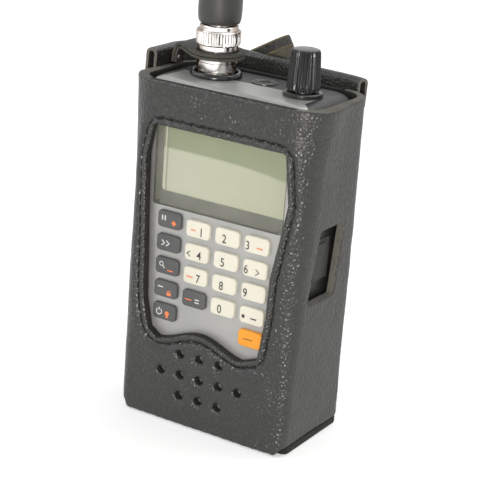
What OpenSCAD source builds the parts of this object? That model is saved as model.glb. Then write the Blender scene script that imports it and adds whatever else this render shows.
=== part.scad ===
// Handheld keypad receiver in a fitted black leather case, with a rubber antenna.
// Millimetres. +Z up, the keypad faces -Y, the origin is the centre of the case's underside.

/* [Leather case] */
// Width of the case at its mouth
mouth_w = 71.2; // [71:0.2:72.2]
// Width of the case at its base
base_w = 65.8; // [65.6:0.2:66.6]
// Depth of the case from front to back
case_d = 39; // [38.8:0.2:39.6]
// Height of the case's front
case_h = 118; // [117:0.5:118.5]
// Thickness of the leather with its lining
leather_t = 3; // [2.6:0.1:3]
// Diameter of one punched speaker hole
punch_d = 2.8; // [2:0.1:3.2]

/* [Belt loop] */
// Width of the loop's leather strip
loop_w = 52; // [40:1:54]
// Length of the loop from fold to fold
loop_len = 52; // [46:1:56]
// Gap that a belt passes through
loop_gap = 5; // [4.5:0.1:5.5]
// Turn of the loop away from hanging straight down, in degrees
loop_turn = 60; // [0:5:90]
// Height of the swivel stud
stud_z = 102.5; // [100:0.5:104]

/* [Receiver] */
// Width of the receiver at its top
radio_top_w = 62.4; // [61:0.2:62.6]
// Width of the receiver at its foot
radio_foot_w = 58.8; // [58:0.2:59]
// Height of the receiver's top face above the case's underside
radio_top = 118.2; // [117.8:0.1:118.6]
// Wall thickness of the plastic covers
shell_t = 1.6; // [1.4:0.1:1.8]

/* [Keypad] */
// Distance between key columns
column_pitch = 11.4; // [11.2:0.1:11.6]
// Distance between key rows
row_pitch = 8.18; // [8.1:0.02:8.3]
// Width of a key
key_w = 9.2; // [8.6:0.1:9.4]
// Height of a key
key_h = 5.8; // [5.2:0.1:6]
// How far a key stands out of the front
key_proud = 1.4; // [1:0.1:1.6]

/* [Antenna] */
// Height of the antenna's tip
antenna_tip = 298; // [240:1:320]
// Radius of the antenna sleeve at its foot
sleeve_r = 7.3; // [7:0.1:7.4]
// Radius of the knurled part of the coupling ring
coupling_r = 7.4; // [7.2:0.1:7.6]

/* [Controls] */
// Radius of the volume knob at its foot
knob_r = 5.6; // [5.4:0.1:6]
// Height of the volume knob
knob_h = 13.3; // [11:0.1:14]
// Radius of the headphone bore
jack_r = 1.8; // [1.75:0.01:1.85]

/* [Hidden] */
$fn = 48;
hull_fn = 32;
eps = 0.02;

// Case
mouth_corner = 10;
base_corner = 3;
bottom_t = 3;
front_y = -case_d / 2;
back_y = case_d / 2;
front_in = front_y + leather_t;
back_in = back_y - leather_t;
seam_x = 24;
window_top = 105.7;
window_foot = 29.6;
window_bump = 4.8;
window_right = [[22.9, window_foot], [22.6, 48], [23, 61], [25.9, 77], [27.7, 87], [27.8, window_top]];
window_left = [[-27.2, window_top], [-27.5, 92], [-25.2, 42], [-24.8, window_foot]];
window_corner = 4;
window_wave = 36;
window_wave_x = -2.5;
overrun = 20;
port_cut = [[-12.2, 52.4], [5.2, 52], [7.8, 77.4], [-8.6, 77.6]];
punch_rows = [[3, 26, -1.5], [5, 18.4, -1.2], [3, 10.8, -1.1]];
punch_pitch = 7.7;

// Hem of the back panel
hem_layer = 1.5;
hem_t = 4.4;
hem_gap = 0.15;
hem_foot = 113;
hem_top = 121.6;
hem_left_y = -3.5;
hem_right_x = 29.6;
hem_tilt = 3;

// Antenna strap
bnc_x = -15.3;
bnc_y = 1.7;
strap_top = 126.9;
strap_t = 2.5;
strap_under = strap_top - strap_t;
strap_r = 9.2;
strap_foot = 118.6;
strap_front = 4.8;
strap_root_w = 9;
strap_root_x = 0.1 - mouth_w / 2 - hem_gap;
strap_bend = [[-28.5, 123.8], [-32, 122.8], [strap_root_x + strap_t, 121.8]];
strap_hump = [[strap_root_x, 123], [-34.6, 124.5], [-31.4, 126.1], [-27.6, strap_top]];
rivet_y = [6.2, 9];
rivet_z = 120.4;
rivet_r = 0.6;

// Belt loop and stud
loop_t = 2;
loop_y = 24.9;
loop_above = 9.5;
stud_r = 2.5;
stud_head_r = 4.6;
stud_base_r = 7.6;
pin_play = 0.05;

// Receiver
radio_x = -0.4;
radio_front = front_in + 0.3;
radio_back = back_in - 0.6;
radio_foot = bottom_t + 0.4;
split_y = 0;
radio_corner = 6;
top_round = [[3.6, 0], [1.8, 0.6], [0.6, 1.9], [0, 4.2]];
lens = [50.8, 1.3, 29.6];
lens_z = 75.4;
key_top = radio_front - key_proud;
key_x0 = -17.9;
key_z0 = 70.5;
dark_key_rise = 0.8;
key_corner = 1.3;
key_play = 0.3;
key_back = radio_front + shell_t + 1.1;
board_y = key_back + 2.4;
speaker_x = -1.2;
speaker_z = 18.4;
battery_r = 7.1;
battery_len = 50.5;
battery_z = 12;
battery_x = 8.2;
battery_y = 7;
spring_h = 3;
door = [46, 1.6, 58];
door_z = 8;

// Top controls
knob_x = 19.4;
knob_y = -0.8;
ring_z = radio_top + 0.12;
ring_h = 1.5;
ring_r = 6.6;
bush_r = 4.5;
tube_r = 3.75;
shaft_r = 3;
knob_z = ring_z + ring_h + 0.3;
jack_x = 2.2;
jack_y = 4.2;
barrel_r = 2.9;

// Antenna coupling
socket_r = 4.8;
socket_in_r = 4.1;
skirt_r = 6.7;
skirt_in_r = 5.6;
skirt_z = 120;
knurl_z = 128.8;
knurl_h = 4.9;
neck_z = knurl_z + knurl_h;
sleeve_z = 135.7;

// Side port
port_y = 0.2;
port_z = 58;
port_w = 9.8;
port_h = 14;
port_t = 1.8;
port_x = 29;

// Half of the case's width at height z
function case_half(z) = base_w / 2 + (mouth_w - base_w) / 2 * z / case_h;
// Half of the receiver's width at height z
function radio_half(z) = radio_foot_w / 2 + (radio_top_w - radio_foot_w) / 2 * z / radio_top;

// A thin plate with round corners, the slice that hulls are made of
module slice(w, d, r, z) {
    translate([0, 0, z])
        linear_extrude(eps)
            offset(r = r, $fn = hull_fn)
                square([w - 2 * r, d - 2 * r], center = true);
}

// The case's tapered outer form between two heights, moved inwards by the inset
module case_form(inset, z0, z1) {
    corner = [for (z = [z0, z1]) base_corner + (mouth_corner - base_corner) * z / case_h];
    hull() {
        slice(2 * (case_half(z0) - inset), case_d - 2 * inset, max(corner[0] - inset, 1), z0);
        slice(2 * (case_half(z1) - inset), case_d - 2 * inset, max(corner[1] - inset, 1), z1 - eps);
    }
}

// Extrudes an outline drawn in X and Z from y0 back to y1
module from_front(y0, y1) {
    translate([0, y1, 0])
        rotate([90, 0, 0])
            linear_extrude(y1 - y0)
                children();
}

// Outline of the display and keypad window, its foot drawn as one smooth wave
module window_outline() {
    wave = [for (k = [0:16])
        let (x = window_wave_x + window_wave * (k / 16 - 0.5))
        [x, window_foot + window_bump * (0.5 - 0.5 * cos(360 * k / 16))]];
    offset(r = window_corner, $fn = hull_fn)
        offset(delta = -window_corner)
            polygon(concat(window_right, window_left, [for (k = [1:15]) wave[k]]));
}

// ---- Leather case ----

module case_wrap() {
    color("#1d1c1a")
        difference() {
            case_form(0, bottom_t, case_h);
            case_form(leather_t, -overrun, case_h + overrun);
            translate([-seam_x, 0, 0])
                cube([2 * seam_x, case_d, case_h + 2]);
            from_front(front_y - 1, front_in + 1)
                window_outline();
            rotate([90, 0, 90])
                linear_extrude(mouth_w)
                    offset(r = 1.2, $fn = 16)
                        offset(delta = -1.2)
                            polygon(port_cut);
            for (row = punch_rows)
                for (k = [0:row[0] - 1])
                    translate([row[2] + (k - (row[0] - 1) / 2) * punch_pitch, 0, row[1]])
                        rotate([90, 0, 0])
                            cylinder(d = punch_d, h = case_d, $fn = 24);
        }
}

module case_bottom() {
    color("#151412")
        case_form(0, 0, bottom_t - eps);
}

module case_back_panel() {
    color("#1d1c1a")
        translate([-seam_x + 0.1, back_in, bottom_t])
            cube([2 * seam_x - 0.2, leather_t, case_h - bottom_t]);
}

// Outline of the hem seen from above: a band round the back between two distances
module hem_outline(inner, outer) {
    difference() {
        offset(r = outer, $fn = hull_fn)
            hem_core();
        offset(r = inner, $fn = hull_fn)
            hem_core();
        translate([-mouth_w, -case_d])
            square([2 * mouth_w, case_d + hem_left_y]);
        translate([0, -case_d])
            square([mouth_w, case_d + back_y - mouth_corner]);
        translate([hem_right_x, -case_d])
            square([mouth_w, 3 * case_d]);
    }
}

module hem_core() {
    offset(r = mouth_corner, $fn = hull_fn)
        square([mouth_w - 2 * mouth_corner, case_d - 2 * mouth_corner], center = true);
}

module back_hem() {
    outer = hem_gap + hem_t;
    color("#201f1c")
        translate([0, 0, hem_top])
            rotate([0, hem_tilt, 0])
                translate([0, 0, hem_foot - hem_top]) {
                    linear_extrude(hem_top - hem_foot)
                        hem_outline(hem_gap, hem_gap + hem_layer);
                    linear_extrude(hem_top - hem_foot)
                        hem_outline(outer - hem_layer, outer);
                    translate([0, 0, hem_top - hem_foot - 1.6])
                        linear_extrude(1.6)
                            hem_outline(hem_gap, outer);
                    translate([0, 0, hem_top - hem_foot - eps])
                        linear_extrude(0.7)
                            hem_outline(hem_gap + 0.8, outer - 0.8);
                }
}

// The strap seen from above: round at the antenna, narrow at its root inside the hem
module strap_plan() {
    intersection() {
        hull() {
            translate([bnc_x, bnc_y])
                circle(r = strap_r);
            translate([strap_root_x, strap_front])
                square([strap_t, strap_root_w]);
        }
        offset(r = hem_gap - 0.1, $fn = hull_fn)
            hem_core();
    }
}

// The strap seen from the front: level at the antenna, bent down to its root
module strap_side() {
    polygon(concat(
        [[0, strap_under], [-23, strap_under]], strap_bend,
        [[strap_root_x + strap_t, strap_foot], [strap_root_x, strap_foot]], strap_hump,
        [[0, strap_top]]));
}

module antenna_strap() {
    color("#23211e")
        difference() {
            intersection() {
                from_front(-case_d, case_d)
                    strap_side();
                translate([0, 0, strap_foot - 1])
                    linear_extrude(strap_top - strap_foot + 2)
                        strap_plan();
            }
            translate([bnc_x, bnc_y, strap_under - 1])
                cylinder(r = skirt_r + 0.3, h = strap_t + 2);
            at_rivets(-1)
                cylinder(r = rivet_r + pin_play, h = strap_t + 2);
        }
}

// Moves its children to the rivets, lying along X from the given depth in the root
module at_rivets(depth) {
    for (y = rivet_y)
        translate([strap_root_x + depth, y, rivet_z])
            rotate([0, 90, 0])
                children();
}

module strap_rivets() {
    color("#8d8a84") {
        at_rivets(0)
            cylinder(r = rivet_r, h = strap_t + eps);
        at_rivets(strap_t)
            cylinder(r = 2 * rivet_r, h = 0.5);
    }
}

// ---- Belt loop ----

// Places its children on the loop's swivel axis, in line with the photographed turn
module on_swivel() {
    translate([0, 0, stud_z])
        rotate([0, loop_turn, 0])
            children();
}

// Side outline of the loop: two layers joined by round folds
module loop_side(r, half) {
    for (side = [-1, 1])
        translate([0, side * half])
            circle(r = r);
    translate([-r, -half])
        square([2 * r, 2 * half]);
}

module belt_loop() {
    outer_r = loop_gap / 2 + loop_t;
    half = loop_len / 2 - outer_r;
    color("#2a2723")
        on_swivel()
            difference() {
                translate([-loop_w / 2, loop_y + outer_r, loop_above - loop_len / 2])
                    rotate([90, 0, 90])
                        linear_extrude(loop_w)
                            difference() {
                                loop_side(outer_r, half);
                                loop_side(loop_gap / 2, half);
                            }
                translate([0, loop_y + loop_t + 1, 0])
                    rotate([90, 0, 0])
                        cylinder(r = stud_r + pin_play, h = loop_t + 2);
            }
}

module stud_base() {
    color("#1b1a18")
        translate([0, loop_y - 0.3, stud_z])
            rotate([90, 0, 0])
                cylinder(r = stud_base_r, h = loop_y - 0.3 - back_y);
}

module belt_stud() {
    color("#77746d")
        translate([0, back_y, stud_z])
            rotate([-90, 0, 0]) {
                translate([0, 0, loop_y - 0.3 - back_y])
                    cylinder(r = stud_r, h = loop_t + 0.6 + eps);
                translate([0, 0, loop_y + loop_t + 0.3 - back_y])
                    cylinder(r = stud_head_r, h = 1.2);
            }
}

// ---- Receiver shells ----

// The receiver's outer form, moved inwards by the inset; its top edge is rounded in steps
module radio_form(inset) {
    depth = radio_back - radio_front - 2 * inset;
    corner = radio_corner - inset;
    translate([radio_x, (radio_front + radio_back) / 2, 0])
        hull() {
            slice(2 * (radio_half(0) - inset), depth, corner, radio_foot + inset);
            for (step = top_round)
                slice(2 * (radio_half(radio_top) - inset - step[1]), depth - 2 * step[1],
                      corner - step[1] / 2, radio_top - inset - step[0] - eps);
        }
}

module key_outline(grow) {
    offset(r = key_corner + grow, $fn = 16)
        square([key_w - 2 * key_corner, key_h - 2 * key_corner], center = true);
}

// Moves its children to the key in a column and row; column 0 is the dark one at the left
module at_key(column, row) {
    rise = column == 0 ? dark_key_rise : 0;
    translate([key_x0 + column * column_pitch, 0, key_z0 - row * row_pitch + rise])
        children();
}

// Every place in the keypad that holds a key
key_places = concat(
    [for (row = [0:4]) [0, row]],
    [for (row = [0:3]) for (column = [1:3]) [column, row]],
    [[3, 4]]);

// Clearance for what stands up through the top face
module top_holes() {
    translate([bnc_x, bnc_y, radio_top - 8])
        cylinder(r = socket_r + 0.3, h = 10);
    translate([jack_x, jack_y, radio_top - 8])
        cylinder(r = barrel_r + 0.2, h = 10);
    translate([knob_x, knob_y, radio_top - 8])
        cylinder(r = bush_r + 0.3, h = 10);
}

// Seat of the port cover in the right wall, with the socket's opening behind it
module port_seat() {
    translate([port_x - 0.2, port_y - port_w / 2 - 0.3, port_z - 1.5])
        cube([6, port_w + 0.6, port_h + 1.9]);
    translate([port_x - 3, port_y - 4.2, port_z + 4.8])
        cube([4, 8.4, 3.6]);
}

module front_cover() {
    color("#8e9192")
        difference() {
            intersection() {
                difference() {
                    radio_form(0);
                    radio_form(shell_t);
                }
                translate([-50, -50, 0])
                    cube([100, 50 + split_y - 0.05, radio_top + 5]);
            }
            translate([radio_x - lens[0] / 2 - 0.1, radio_front - 1, lens_z - 0.1])
                cube([lens[0] + 0.2, lens[1] + 0.9, lens[2] + 0.2]);
            translate([radio_x - 23, radio_front - 1, 81])
                cube([46, 5, 23]);
            for (place = key_places)
                at_key(place[0], place[1])
                    from_front(radio_front - 1, radio_front + 4)
                        key_outline(key_play);
            for (k = [-3:3])
                translate([speaker_x - 10, radio_front - 1, speaker_z + k * 3.2 - 0.6])
                    cube([20, 5, 1.2]);
            top_holes();
            port_seat();
        }
}

module rear_cover() {
    color("#232426")
        difference() {
            intersection() {
                difference() {
                    radio_form(0);
                    radio_form(shell_t);
                }
                translate([-50, split_y + 0.05, 0])
                    cube([100, 50, radio_top + 5]);
            }
            translate([radio_x - door[0] / 2 - 0.2, radio_back - 4, door_z - 0.2])
                cube([door[0] + 0.4, 6, door[2] + 0.4]);
            top_holes();
            port_seat();
            screw_places()
                cylinder(r = 1.6, h = 20, center = true);
        }
}

module battery_door() {
    color("#1f2022")
        translate([radio_x - door[0] / 2, radio_back - door[1], door_z]) {
            cube(door);
            for (k = [0:4])
                translate([door[0] / 2 - 9, door[1] - eps, door[2] - 5 - k * 1.6])
                    cube([18, 0.35, 0.8]);
        }
}

module screw_places() {
    for (x = [-26, 26])
        for (z = [76, 108])
            translate([radio_x + x, radio_back, z])
                rotate([90, 0, 0])
                    children();
}

module cover_screws() {
    color("#6d6d6d")
        screw_places() {
            translate([0, 0, 0.1])
                cylinder(r = 1.5, h = 9);
        }
}

module display_lens() {
    color("#8f9a88")
        translate([radio_x - lens[0] / 2, radio_front - 0.15, lens_z])
            cube(lens);
}

module lcd_panel() {
    color("#b4bc98")
        translate([radio_x - 24, radio_front + lens[1] + 0.4, 79.5])
            cube([48, 1.4, 26]);
}

module backlight() {
    color("#e3e2d4")
        translate([radio_x - 24, radio_front + lens[1] + 1.9, 79.5])
            cube([48, 1.6, 26]);
}

module keypad_mat() {
    color("#3a3b3c")
        translate([radio_x - 26, key_back + 0.9, 33])
            cube([52, 0.9, 43]);
}

module main_board() {
    color("#3d6b46")
        difference() {
            translate([radio_x - 27, board_y, 34])
                cube([54, 1.4, 78]);
            for (x = [-24.5, 24.5])
                for (z = [37, 109])
                    translate([radio_x + x, 0, z])
                        rotate([90, 0, 0])
                            cylinder(r = 1.3, h = 40, center = true);
        }
}

module rf_shield() {
    color("#b9bcbd")
        translate([radio_x - 18, board_y + 1.45, 68])
            difference() {
                cube([36, 3.2, 30]);
                translate([0.3, -1, 0.3])
                    cube([35.4, 3.9, 29.4]);
            }
}

module speaker() {
    color("#2c2c2e")
        translate([speaker_x, radio_front + shell_t + 0.1, speaker_z])
            rotate([-90, 0, 0]) {
                difference() {
                    cylinder(r = 13, h = 2.6);
                    translate([0, 0, -1])
                        cylinder(r1 = 12, r2 = 5, h = 3);
                }
                translate([0, 0, 2.6 - eps])
                    cylinder(r = 8, h = 3.2);
            }
}

module battery_cell(x) {
    translate([radio_x + x, battery_y, battery_z]) {
        cylinder(r = battery_r, h = battery_len - 1.2);
        translate([0, 0, battery_len - 1.2 - eps])
            cylinder(r = 2.7, h = 1.2);
    }
}

module battery_left() {
    color("#4c6478")
        battery_cell(-battery_x);
}

module battery_right() {
    color("#4c6478")
        battery_cell(battery_x);
}

// Stacked rings that narrow upwards, one stack under each cell
module battery_springs() {
    color("#c9cac6")
        for (side = [-1, 1])
            translate([radio_x + side * battery_x, battery_y, battery_z - spring_h])
                for (k = [0:2])
                    translate([0, 0, k * spring_h / 3])
                        difference() {
                            cylinder(r = 4.6 - k * 0.6, h = spring_h / 3);
                            translate([0, 0, -1])
                                cylinder(r = 3.8 - k * 0.6, h = 3);
                        }
}

module battery_contacts() {
    color("#c9cac6")
        for (side = [-1, 1])
            for (z = [battery_z - spring_h - 0.4, battery_z + battery_len])
                translate([radio_x + side * battery_x - 5, battery_y - 5, z])
                    cube([10, 10, 0.4]);
}

// ---- Keys ----

module key_cap(column, row) {
    at_key(column, row) {
        from_front(key_top, key_back)
            key_outline(0);
        from_front(key_back - 0.8, key_back)
            key_outline(0.6);
    }
}

module hold_key() { color("#55565a") key_cap(0, 0); }
module scan_key() { color("#55565a") key_cap(0, 1); }
module search_key() { color("#55565a") key_cap(0, 2); }
module lockout_key() { color("#55565a") key_cap(0, 3); }
module power_key() { color("#55565a") key_cap(0, 4); }
module key_1() { color("#e4e1d2") key_cap(1, 0); }
module key_2() { color("#e4e1d2") key_cap(2, 0); }
module key_3() { color("#e4e1d2") key_cap(3, 0); }
module key_4() { color("#e4e1d2") key_cap(1, 1); }
module key_5() { color("#e4e1d2") key_cap(2, 1); }
module key_6() { color("#e4e1d2") key_cap(3, 1); }
module key_7() { color("#e4e1d2") key_cap(1, 2); }
module key_8() { color("#e4e1d2") key_cap(2, 2); }
module key_9() { color("#e4e1d2") key_cap(3, 2); }
module enter_key() { color("#4b4c50") key_cap(1, 3); }
module key_0() { color("#e4e1d2") key_cap(2, 3); }
module point_key() { color("#e4e1d2") key_cap(3, 3); }
module function_key() { color("#e8a53a") key_cap(3, 4); }

// ---- Top controls ----

module volume_knob() {
    flutes = 18;
    color("#1a1a1b")
        translate([knob_x, knob_y, knob_z])
            difference() {
                union() {
                    cylinder(r1 = knob_r, r2 = knob_r - 0.8, h = knob_h - 0.6);
                    translate([0, 0, knob_h - 0.6 - eps])
                        cylinder(r1 = knob_r - 0.8, r2 = knob_r - 1.3, h = 0.6 + eps);
                }
                for (k = [0:flutes - 1])
                    rotate([0, 0, k * 360 / flutes])
                        translate([knob_r + 0.35, 0, 1])
                            rotate([0, -3.8, 0])
                                cylinder(r = 0.75, h = knob_h + 2, $fn = 16);
                translate([0, 0, -1])
                    cylinder(r = shaft_r, h = knob_h - 1);
            }
}

module volume_shaft() {
    color("#b8bab8")
        translate([knob_x, knob_y, radio_top - 9])
            cylinder(r = shaft_r - eps, h = knob_z + knob_h - 2.2 - radio_top + 9);
}

// A tube round the volume shaft between two heights
module round_shaft(r, z, h) {
    translate([knob_x, knob_y, z])
        difference() {
            cylinder(r = r, h = h);
            translate([0, 0, -1])
                cylinder(r = shaft_r + pin_play, h = h + 2);
        }
}

module squelch_ring() {
    color("#232323")
        round_shaft(ring_r, ring_z, ring_h);
}

module squelch_tube() {
    color("#9a9c98")
        round_shaft(tube_r - pin_play, radio_top - 6, ring_z - radio_top + 6);
}

module control_body() {
    color("#9a9c98")
        translate([knob_x, knob_y, 0])
            difference() {
                union() {
                    translate([-6, -5.5, radio_top - 12])
                        cube([12, 11, 9]);
                    translate([0, 0, radio_top - 3 - eps])
                        cylinder(r = bush_r, h = 3.06);
                }
                translate([0, 0, radio_top - 6.2])
                    cylinder(r = tube_r, h = 12);
                translate([0, 0, radio_top - 9.2])
                    cylinder(r = shaft_r + pin_play, h = 12);
            }
}

module control_nut() {
    color("#a5a7a5")
        translate([knob_x, knob_y, radio_top - 2.8])
            difference() {
                cylinder(r = 6.2, h = 1, $fn = 6);
                translate([0, 0, -1])
                    cylinder(r = bush_r, h = 3);
            }
}

module headphone_jack() {
    color("#2b2b2d")
        translate([jack_x, jack_y, 0])
            difference() {
                union() {
                    translate([-3.6, -3.6, radio_top - 14.4])
                        cube([7.2, 7.2, 12.6]);
                    translate([0, 0, radio_top - 1.9])
                        cylinder(r = barrel_r, h = 2.4);
                }
                translate([0, 0, radio_top - 12.5])
                    cylinder(r = jack_r, h = 20);
            }
}

module jack_nut() {
    color("#77797a")
        translate([jack_x, jack_y, radio_top])
            difference() {
                cylinder(r = 4.2, h = 0.5);
                translate([0, 0, -1])
                    cylinder(r = barrel_r, h = 3);
            }
}

// ---- Antenna and its coupling ----

module at_bnc(z) {
    translate([bnc_x, bnc_y, z])
        children();
}

module bnc_socket() {
    barrel_top = knurl_z + 1;
    lug_z = skirt_z + 1.6;
    color("#c4bfb4")
        difference() {
            union() {
                at_bnc(radio_top - 5)
                    cylinder(r = 6.2, h = 3.2);
                at_bnc(radio_top - 2)
                    cylinder(r = socket_r, h = barrel_top - radio_top + 2);
                at_bnc(lug_z)
                    rotate([0, 90, 0])
                        cylinder(r = 0.95, h = 2 * (skirt_in_r - 0.15), center = true);
            }
            at_bnc(skirt_z + 0.6)
                cylinder(r = socket_in_r, h = 20);
        }
}

module bnc_nut() {
    color("#b5b0a4")
        at_bnc(radio_top)
            difference() {
                cylinder(r = 6.9, h = 1.1, $fn = 6);
                translate([0, 0, -1])
                    cylinder(r = socket_r, h = 4);
            }
}

module antenna_seat() {
    color("#161617")
        at_bnc(radio_top)
            difference() {
                union() {
                    cylinder(r = 8.8, h = 1);
                    cylinder(r1 = 8.6, r2 = 8.2, h = 1.7);
                }
                translate([0, 0, -1])
                    cylinder(r = 7.2, h = 4);
            }
}

module coupling_ring() {
    ridges = 48;
    color("#cfc9bd")
        difference() {
            union() {
                at_bnc(skirt_z)
                    cylinder(r = skirt_r, h = knurl_z - skirt_z + eps);
                at_bnc(knurl_z)
                    cylinder(r = coupling_r, h = knurl_h);
                at_bnc(neck_z - eps)
                    cylinder(r = coupling_r - 0.9, h = sleeve_z - 0.4 - neck_z);
            }
            at_bnc(skirt_z - 1)
                cylinder(r = skirt_in_r, h = sleeve_z - skirt_z + 2);
            for (k = [0:ridges - 1])
                at_bnc(knurl_z + 0.5)
                    rotate([0, 0, k * 360 / ridges])
                        translate([coupling_r + 0.12, 0, 0])
                            cylinder(r = 0.32, h = knurl_h - 1, $fn = 16);
            for (side = [0, 180])
                at_bnc(skirt_z + 1.6)
                    rotate([0, 90, side])
                        cylinder(r = 1.5, h = 9);
        }
}

module antenna_plug() {
    color("#bdb8ac")
        at_bnc(0) {
            difference() {
                translate([0, 0, skirt_z + 1])
                    cylinder(r = socket_in_r - pin_play, h = knurl_z + 1.4 - skirt_z - 1 + eps);
                translate([0, 0, skirt_z])
                    cylinder(r = 3.2, h = 6);
            }
            translate([0, 0, knurl_z + 1.4])
                cylinder(r = 4, h = sleeve_z - knurl_z - 1.4);
            translate([0, 0, sleeve_z - eps])
                cylinder(r = 4, h = 6);
            translate([0, 0, skirt_z + 1.6])
                cylinder(r = 0.7, h = 8);
        }
}

module antenna_core() {
    color("#b08d57")
        at_bnc(sleeve_z + 6.2)
            cylinder(r = 2.4, h = antenna_tip - 14 - sleeve_z);
}

module antenna_sleeve() {
    tip_r = sleeve_r - 1.7;
    cone_top = antenna_tip - tip_r;
    color("#1b1b1b")
        at_bnc(0)
            difference() {
                rotate_extrude()
                    union() {
                        polygon([[0, sleeve_z], [sleeve_r - 0.5, sleeve_z], [sleeve_r, sleeve_z + 1],
                                 [sleeve_r - 0.3, sleeve_z + 30], [tip_r, cone_top], [0, cone_top]]);
                        intersection() {
                            translate([0, cone_top])
                                circle(r = tip_r);
                            translate([0, cone_top - tip_r])
                                square([tip_r, 2 * tip_r]);
                        }
                    }
                translate([0, 0, sleeve_z - 1])
                    cylinder(r = 4.02, h = 7.2);
                translate([0, 0, sleeve_z + 6])
                    cylinder(r = 2.42, h = antenna_tip - 13.6 - sleeve_z);
            }
}

// ---- Side port ----

module port_cover() {
    color("#2f3032")
        difference() {
            union() {
                translate([port_x, port_y - port_w / 2, port_z])
                    cube([port_t, port_w, port_h]);
                translate([port_x + 0.8, port_y - port_w / 2, port_z])
                    rotate([-90, 0, 0])
                        cylinder(r = 0.8, h = port_w);
            }
            translate([port_x + port_t - 0.4, port_y - port_w / 2 + 2, port_z + port_h - 1.6])
                cube([1, port_w - 4, 2]);
        }
}

module usb_socket() {
    color("#a9abab")
        translate([port_x - 6.7, port_y - 4, port_z + 5])
            difference() {
                cube([6, 8, 3.2]);
                translate([0.6, 0.4, 0.4])
                    cube([6, 7.2, 2.4]);
            }
}

case_wrap();
case_bottom();
case_back_panel();
back_hem();
antenna_strap();
strap_rivets();
stud_base();
belt_stud();
belt_loop();
front_cover();
rear_cover();
battery_door();
cover_screws();
display_lens();
lcd_panel();
backlight();
keypad_mat();
main_board();
rf_shield();
speaker();
battery_left();
battery_right();
battery_springs();
battery_contacts();
hold_key();
scan_key();
search_key();
lockout_key();
power_key();
key_1();
key_2();
key_3();
key_4();
key_5();
key_6();
key_7();
key_8();
key_9();
enter_key();
key_0();
point_key();
function_key();
volume_knob();
volume_shaft();
squelch_ring();
squelch_tube();
control_body();
control_nut();
headphone_jack();
jack_nut();
bnc_socket();
bnc_nut();
antenna_seat();
coupling_ring();
antenna_plug();
antenna_core();
antenna_sleeve();
port_cover();
usb_socket();
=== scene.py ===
import math

import bmesh
import bpy
from mathutils import Matrix, Vector, kdtree, noise
from mathutils.geometry import delaunay_2d_cdt


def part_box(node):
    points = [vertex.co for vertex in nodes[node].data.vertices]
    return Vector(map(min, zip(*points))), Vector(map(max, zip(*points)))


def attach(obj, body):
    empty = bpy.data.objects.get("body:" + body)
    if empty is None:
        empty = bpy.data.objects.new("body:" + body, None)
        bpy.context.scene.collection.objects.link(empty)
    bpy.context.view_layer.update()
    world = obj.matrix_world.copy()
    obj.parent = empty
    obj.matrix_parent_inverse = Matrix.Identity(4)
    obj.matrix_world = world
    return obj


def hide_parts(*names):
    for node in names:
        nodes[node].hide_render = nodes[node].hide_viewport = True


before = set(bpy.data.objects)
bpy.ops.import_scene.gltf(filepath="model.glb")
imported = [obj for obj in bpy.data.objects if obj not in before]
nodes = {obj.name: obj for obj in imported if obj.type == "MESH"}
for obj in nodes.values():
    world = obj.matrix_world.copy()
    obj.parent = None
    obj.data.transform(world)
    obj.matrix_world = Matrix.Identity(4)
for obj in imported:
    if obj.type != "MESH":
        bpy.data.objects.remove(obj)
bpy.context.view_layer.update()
mm = 0.001
rootBody = "radio_in_case"
print("frame loaded:", len(nodes), "nodes")


def deselectAll():
    if bpy.context.object and bpy.context.object.mode != "OBJECT":
        bpy.ops.object.mode_set(mode="OBJECT")
    bpy.ops.object.select_all(action="DESELECT")


def workOn(piece):
    deselectAll()
    piece.select_set(True)
    bpy.context.view_layer.objects.active = piece


def boxOf(node):
    low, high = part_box(node)
    return low / mm, high / mm


def newMeshPiece(name, mesh):
    piece = bpy.data.objects.new(name, mesh)
    bpy.context.scene.collection.objects.link(piece)
    return piece


def inEditMode(piece, *steps):
    # Each step is a mesh operator with its settings, run on the whole mesh
    workOn(piece)
    bpy.ops.object.mode_set(mode="EDIT")
    for operator, settings in steps:
        bpy.ops.mesh.select_all(action="SELECT")
        operator(**settings)
    bpy.ops.object.mode_set(mode="OBJECT")
    return piece


def merged(distance):
    return bpy.ops.mesh.remove_doubles, {"threshold": distance}


def outwardNormals():
    return bpy.ops.mesh.normals_make_consistent, {"inside": False}


def fromShape(name, shape, recalculate=True):
    if recalculate:
        bmesh.ops.recalc_face_normals(shape, faces=shape.faces)
    mesh = bpy.data.meshes.new(name)
    shape.to_mesh(mesh)
    shape.free()
    return newMeshPiece(name, mesh)


def placed(piece):
    workOn(piece)
    bpy.ops.object.transform_apply(location=True, rotation=True, scale=True)
    return piece


def addBevel(piece, width, segments=3, angle=40):
    bevel = piece.modifiers.new("softEdges", "BEVEL")
    bevel.width = width
    bevel.segments = segments
    bevel.limit_method = "ANGLE"
    bevel.angle_limit = math.radians(angle)
    workOn(piece)
    bpy.ops.object.modifier_apply(modifier=bevel.name)
    return piece


def edgeDip(gap, radius):
    # How far a rounded edge of this radius has dropped at a distance from the edge
    return radius - math.sqrt(max(radius ** 2 - (radius - gap) ** 2, 0)) if gap < radius else 0


def dress(piece, materials):
    indices = [face.material_index for face in piece.data.polygons]
    piece.data.materials.clear()
    for material in materials:
        piece.data.materials.append(material)
    piece.data.polygons.foreach_set("material_index", indices)


def finishPiece(piece, body, materials, standsFor=(), angle=0):
    # A piece modelled in millimetres comes into the frame's metres and gets its shading and materials
    piece.data.transform(Matrix.Scale(mm, 4))
    piece.data.update()
    if angle:
        workOn(piece)
        bpy.ops.object.shade_smooth_by_angle(angle=math.radians(angle))
    dress(piece, materials)
    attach(piece, body)
    if standsFor:
        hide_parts(*standsFor)


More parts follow.
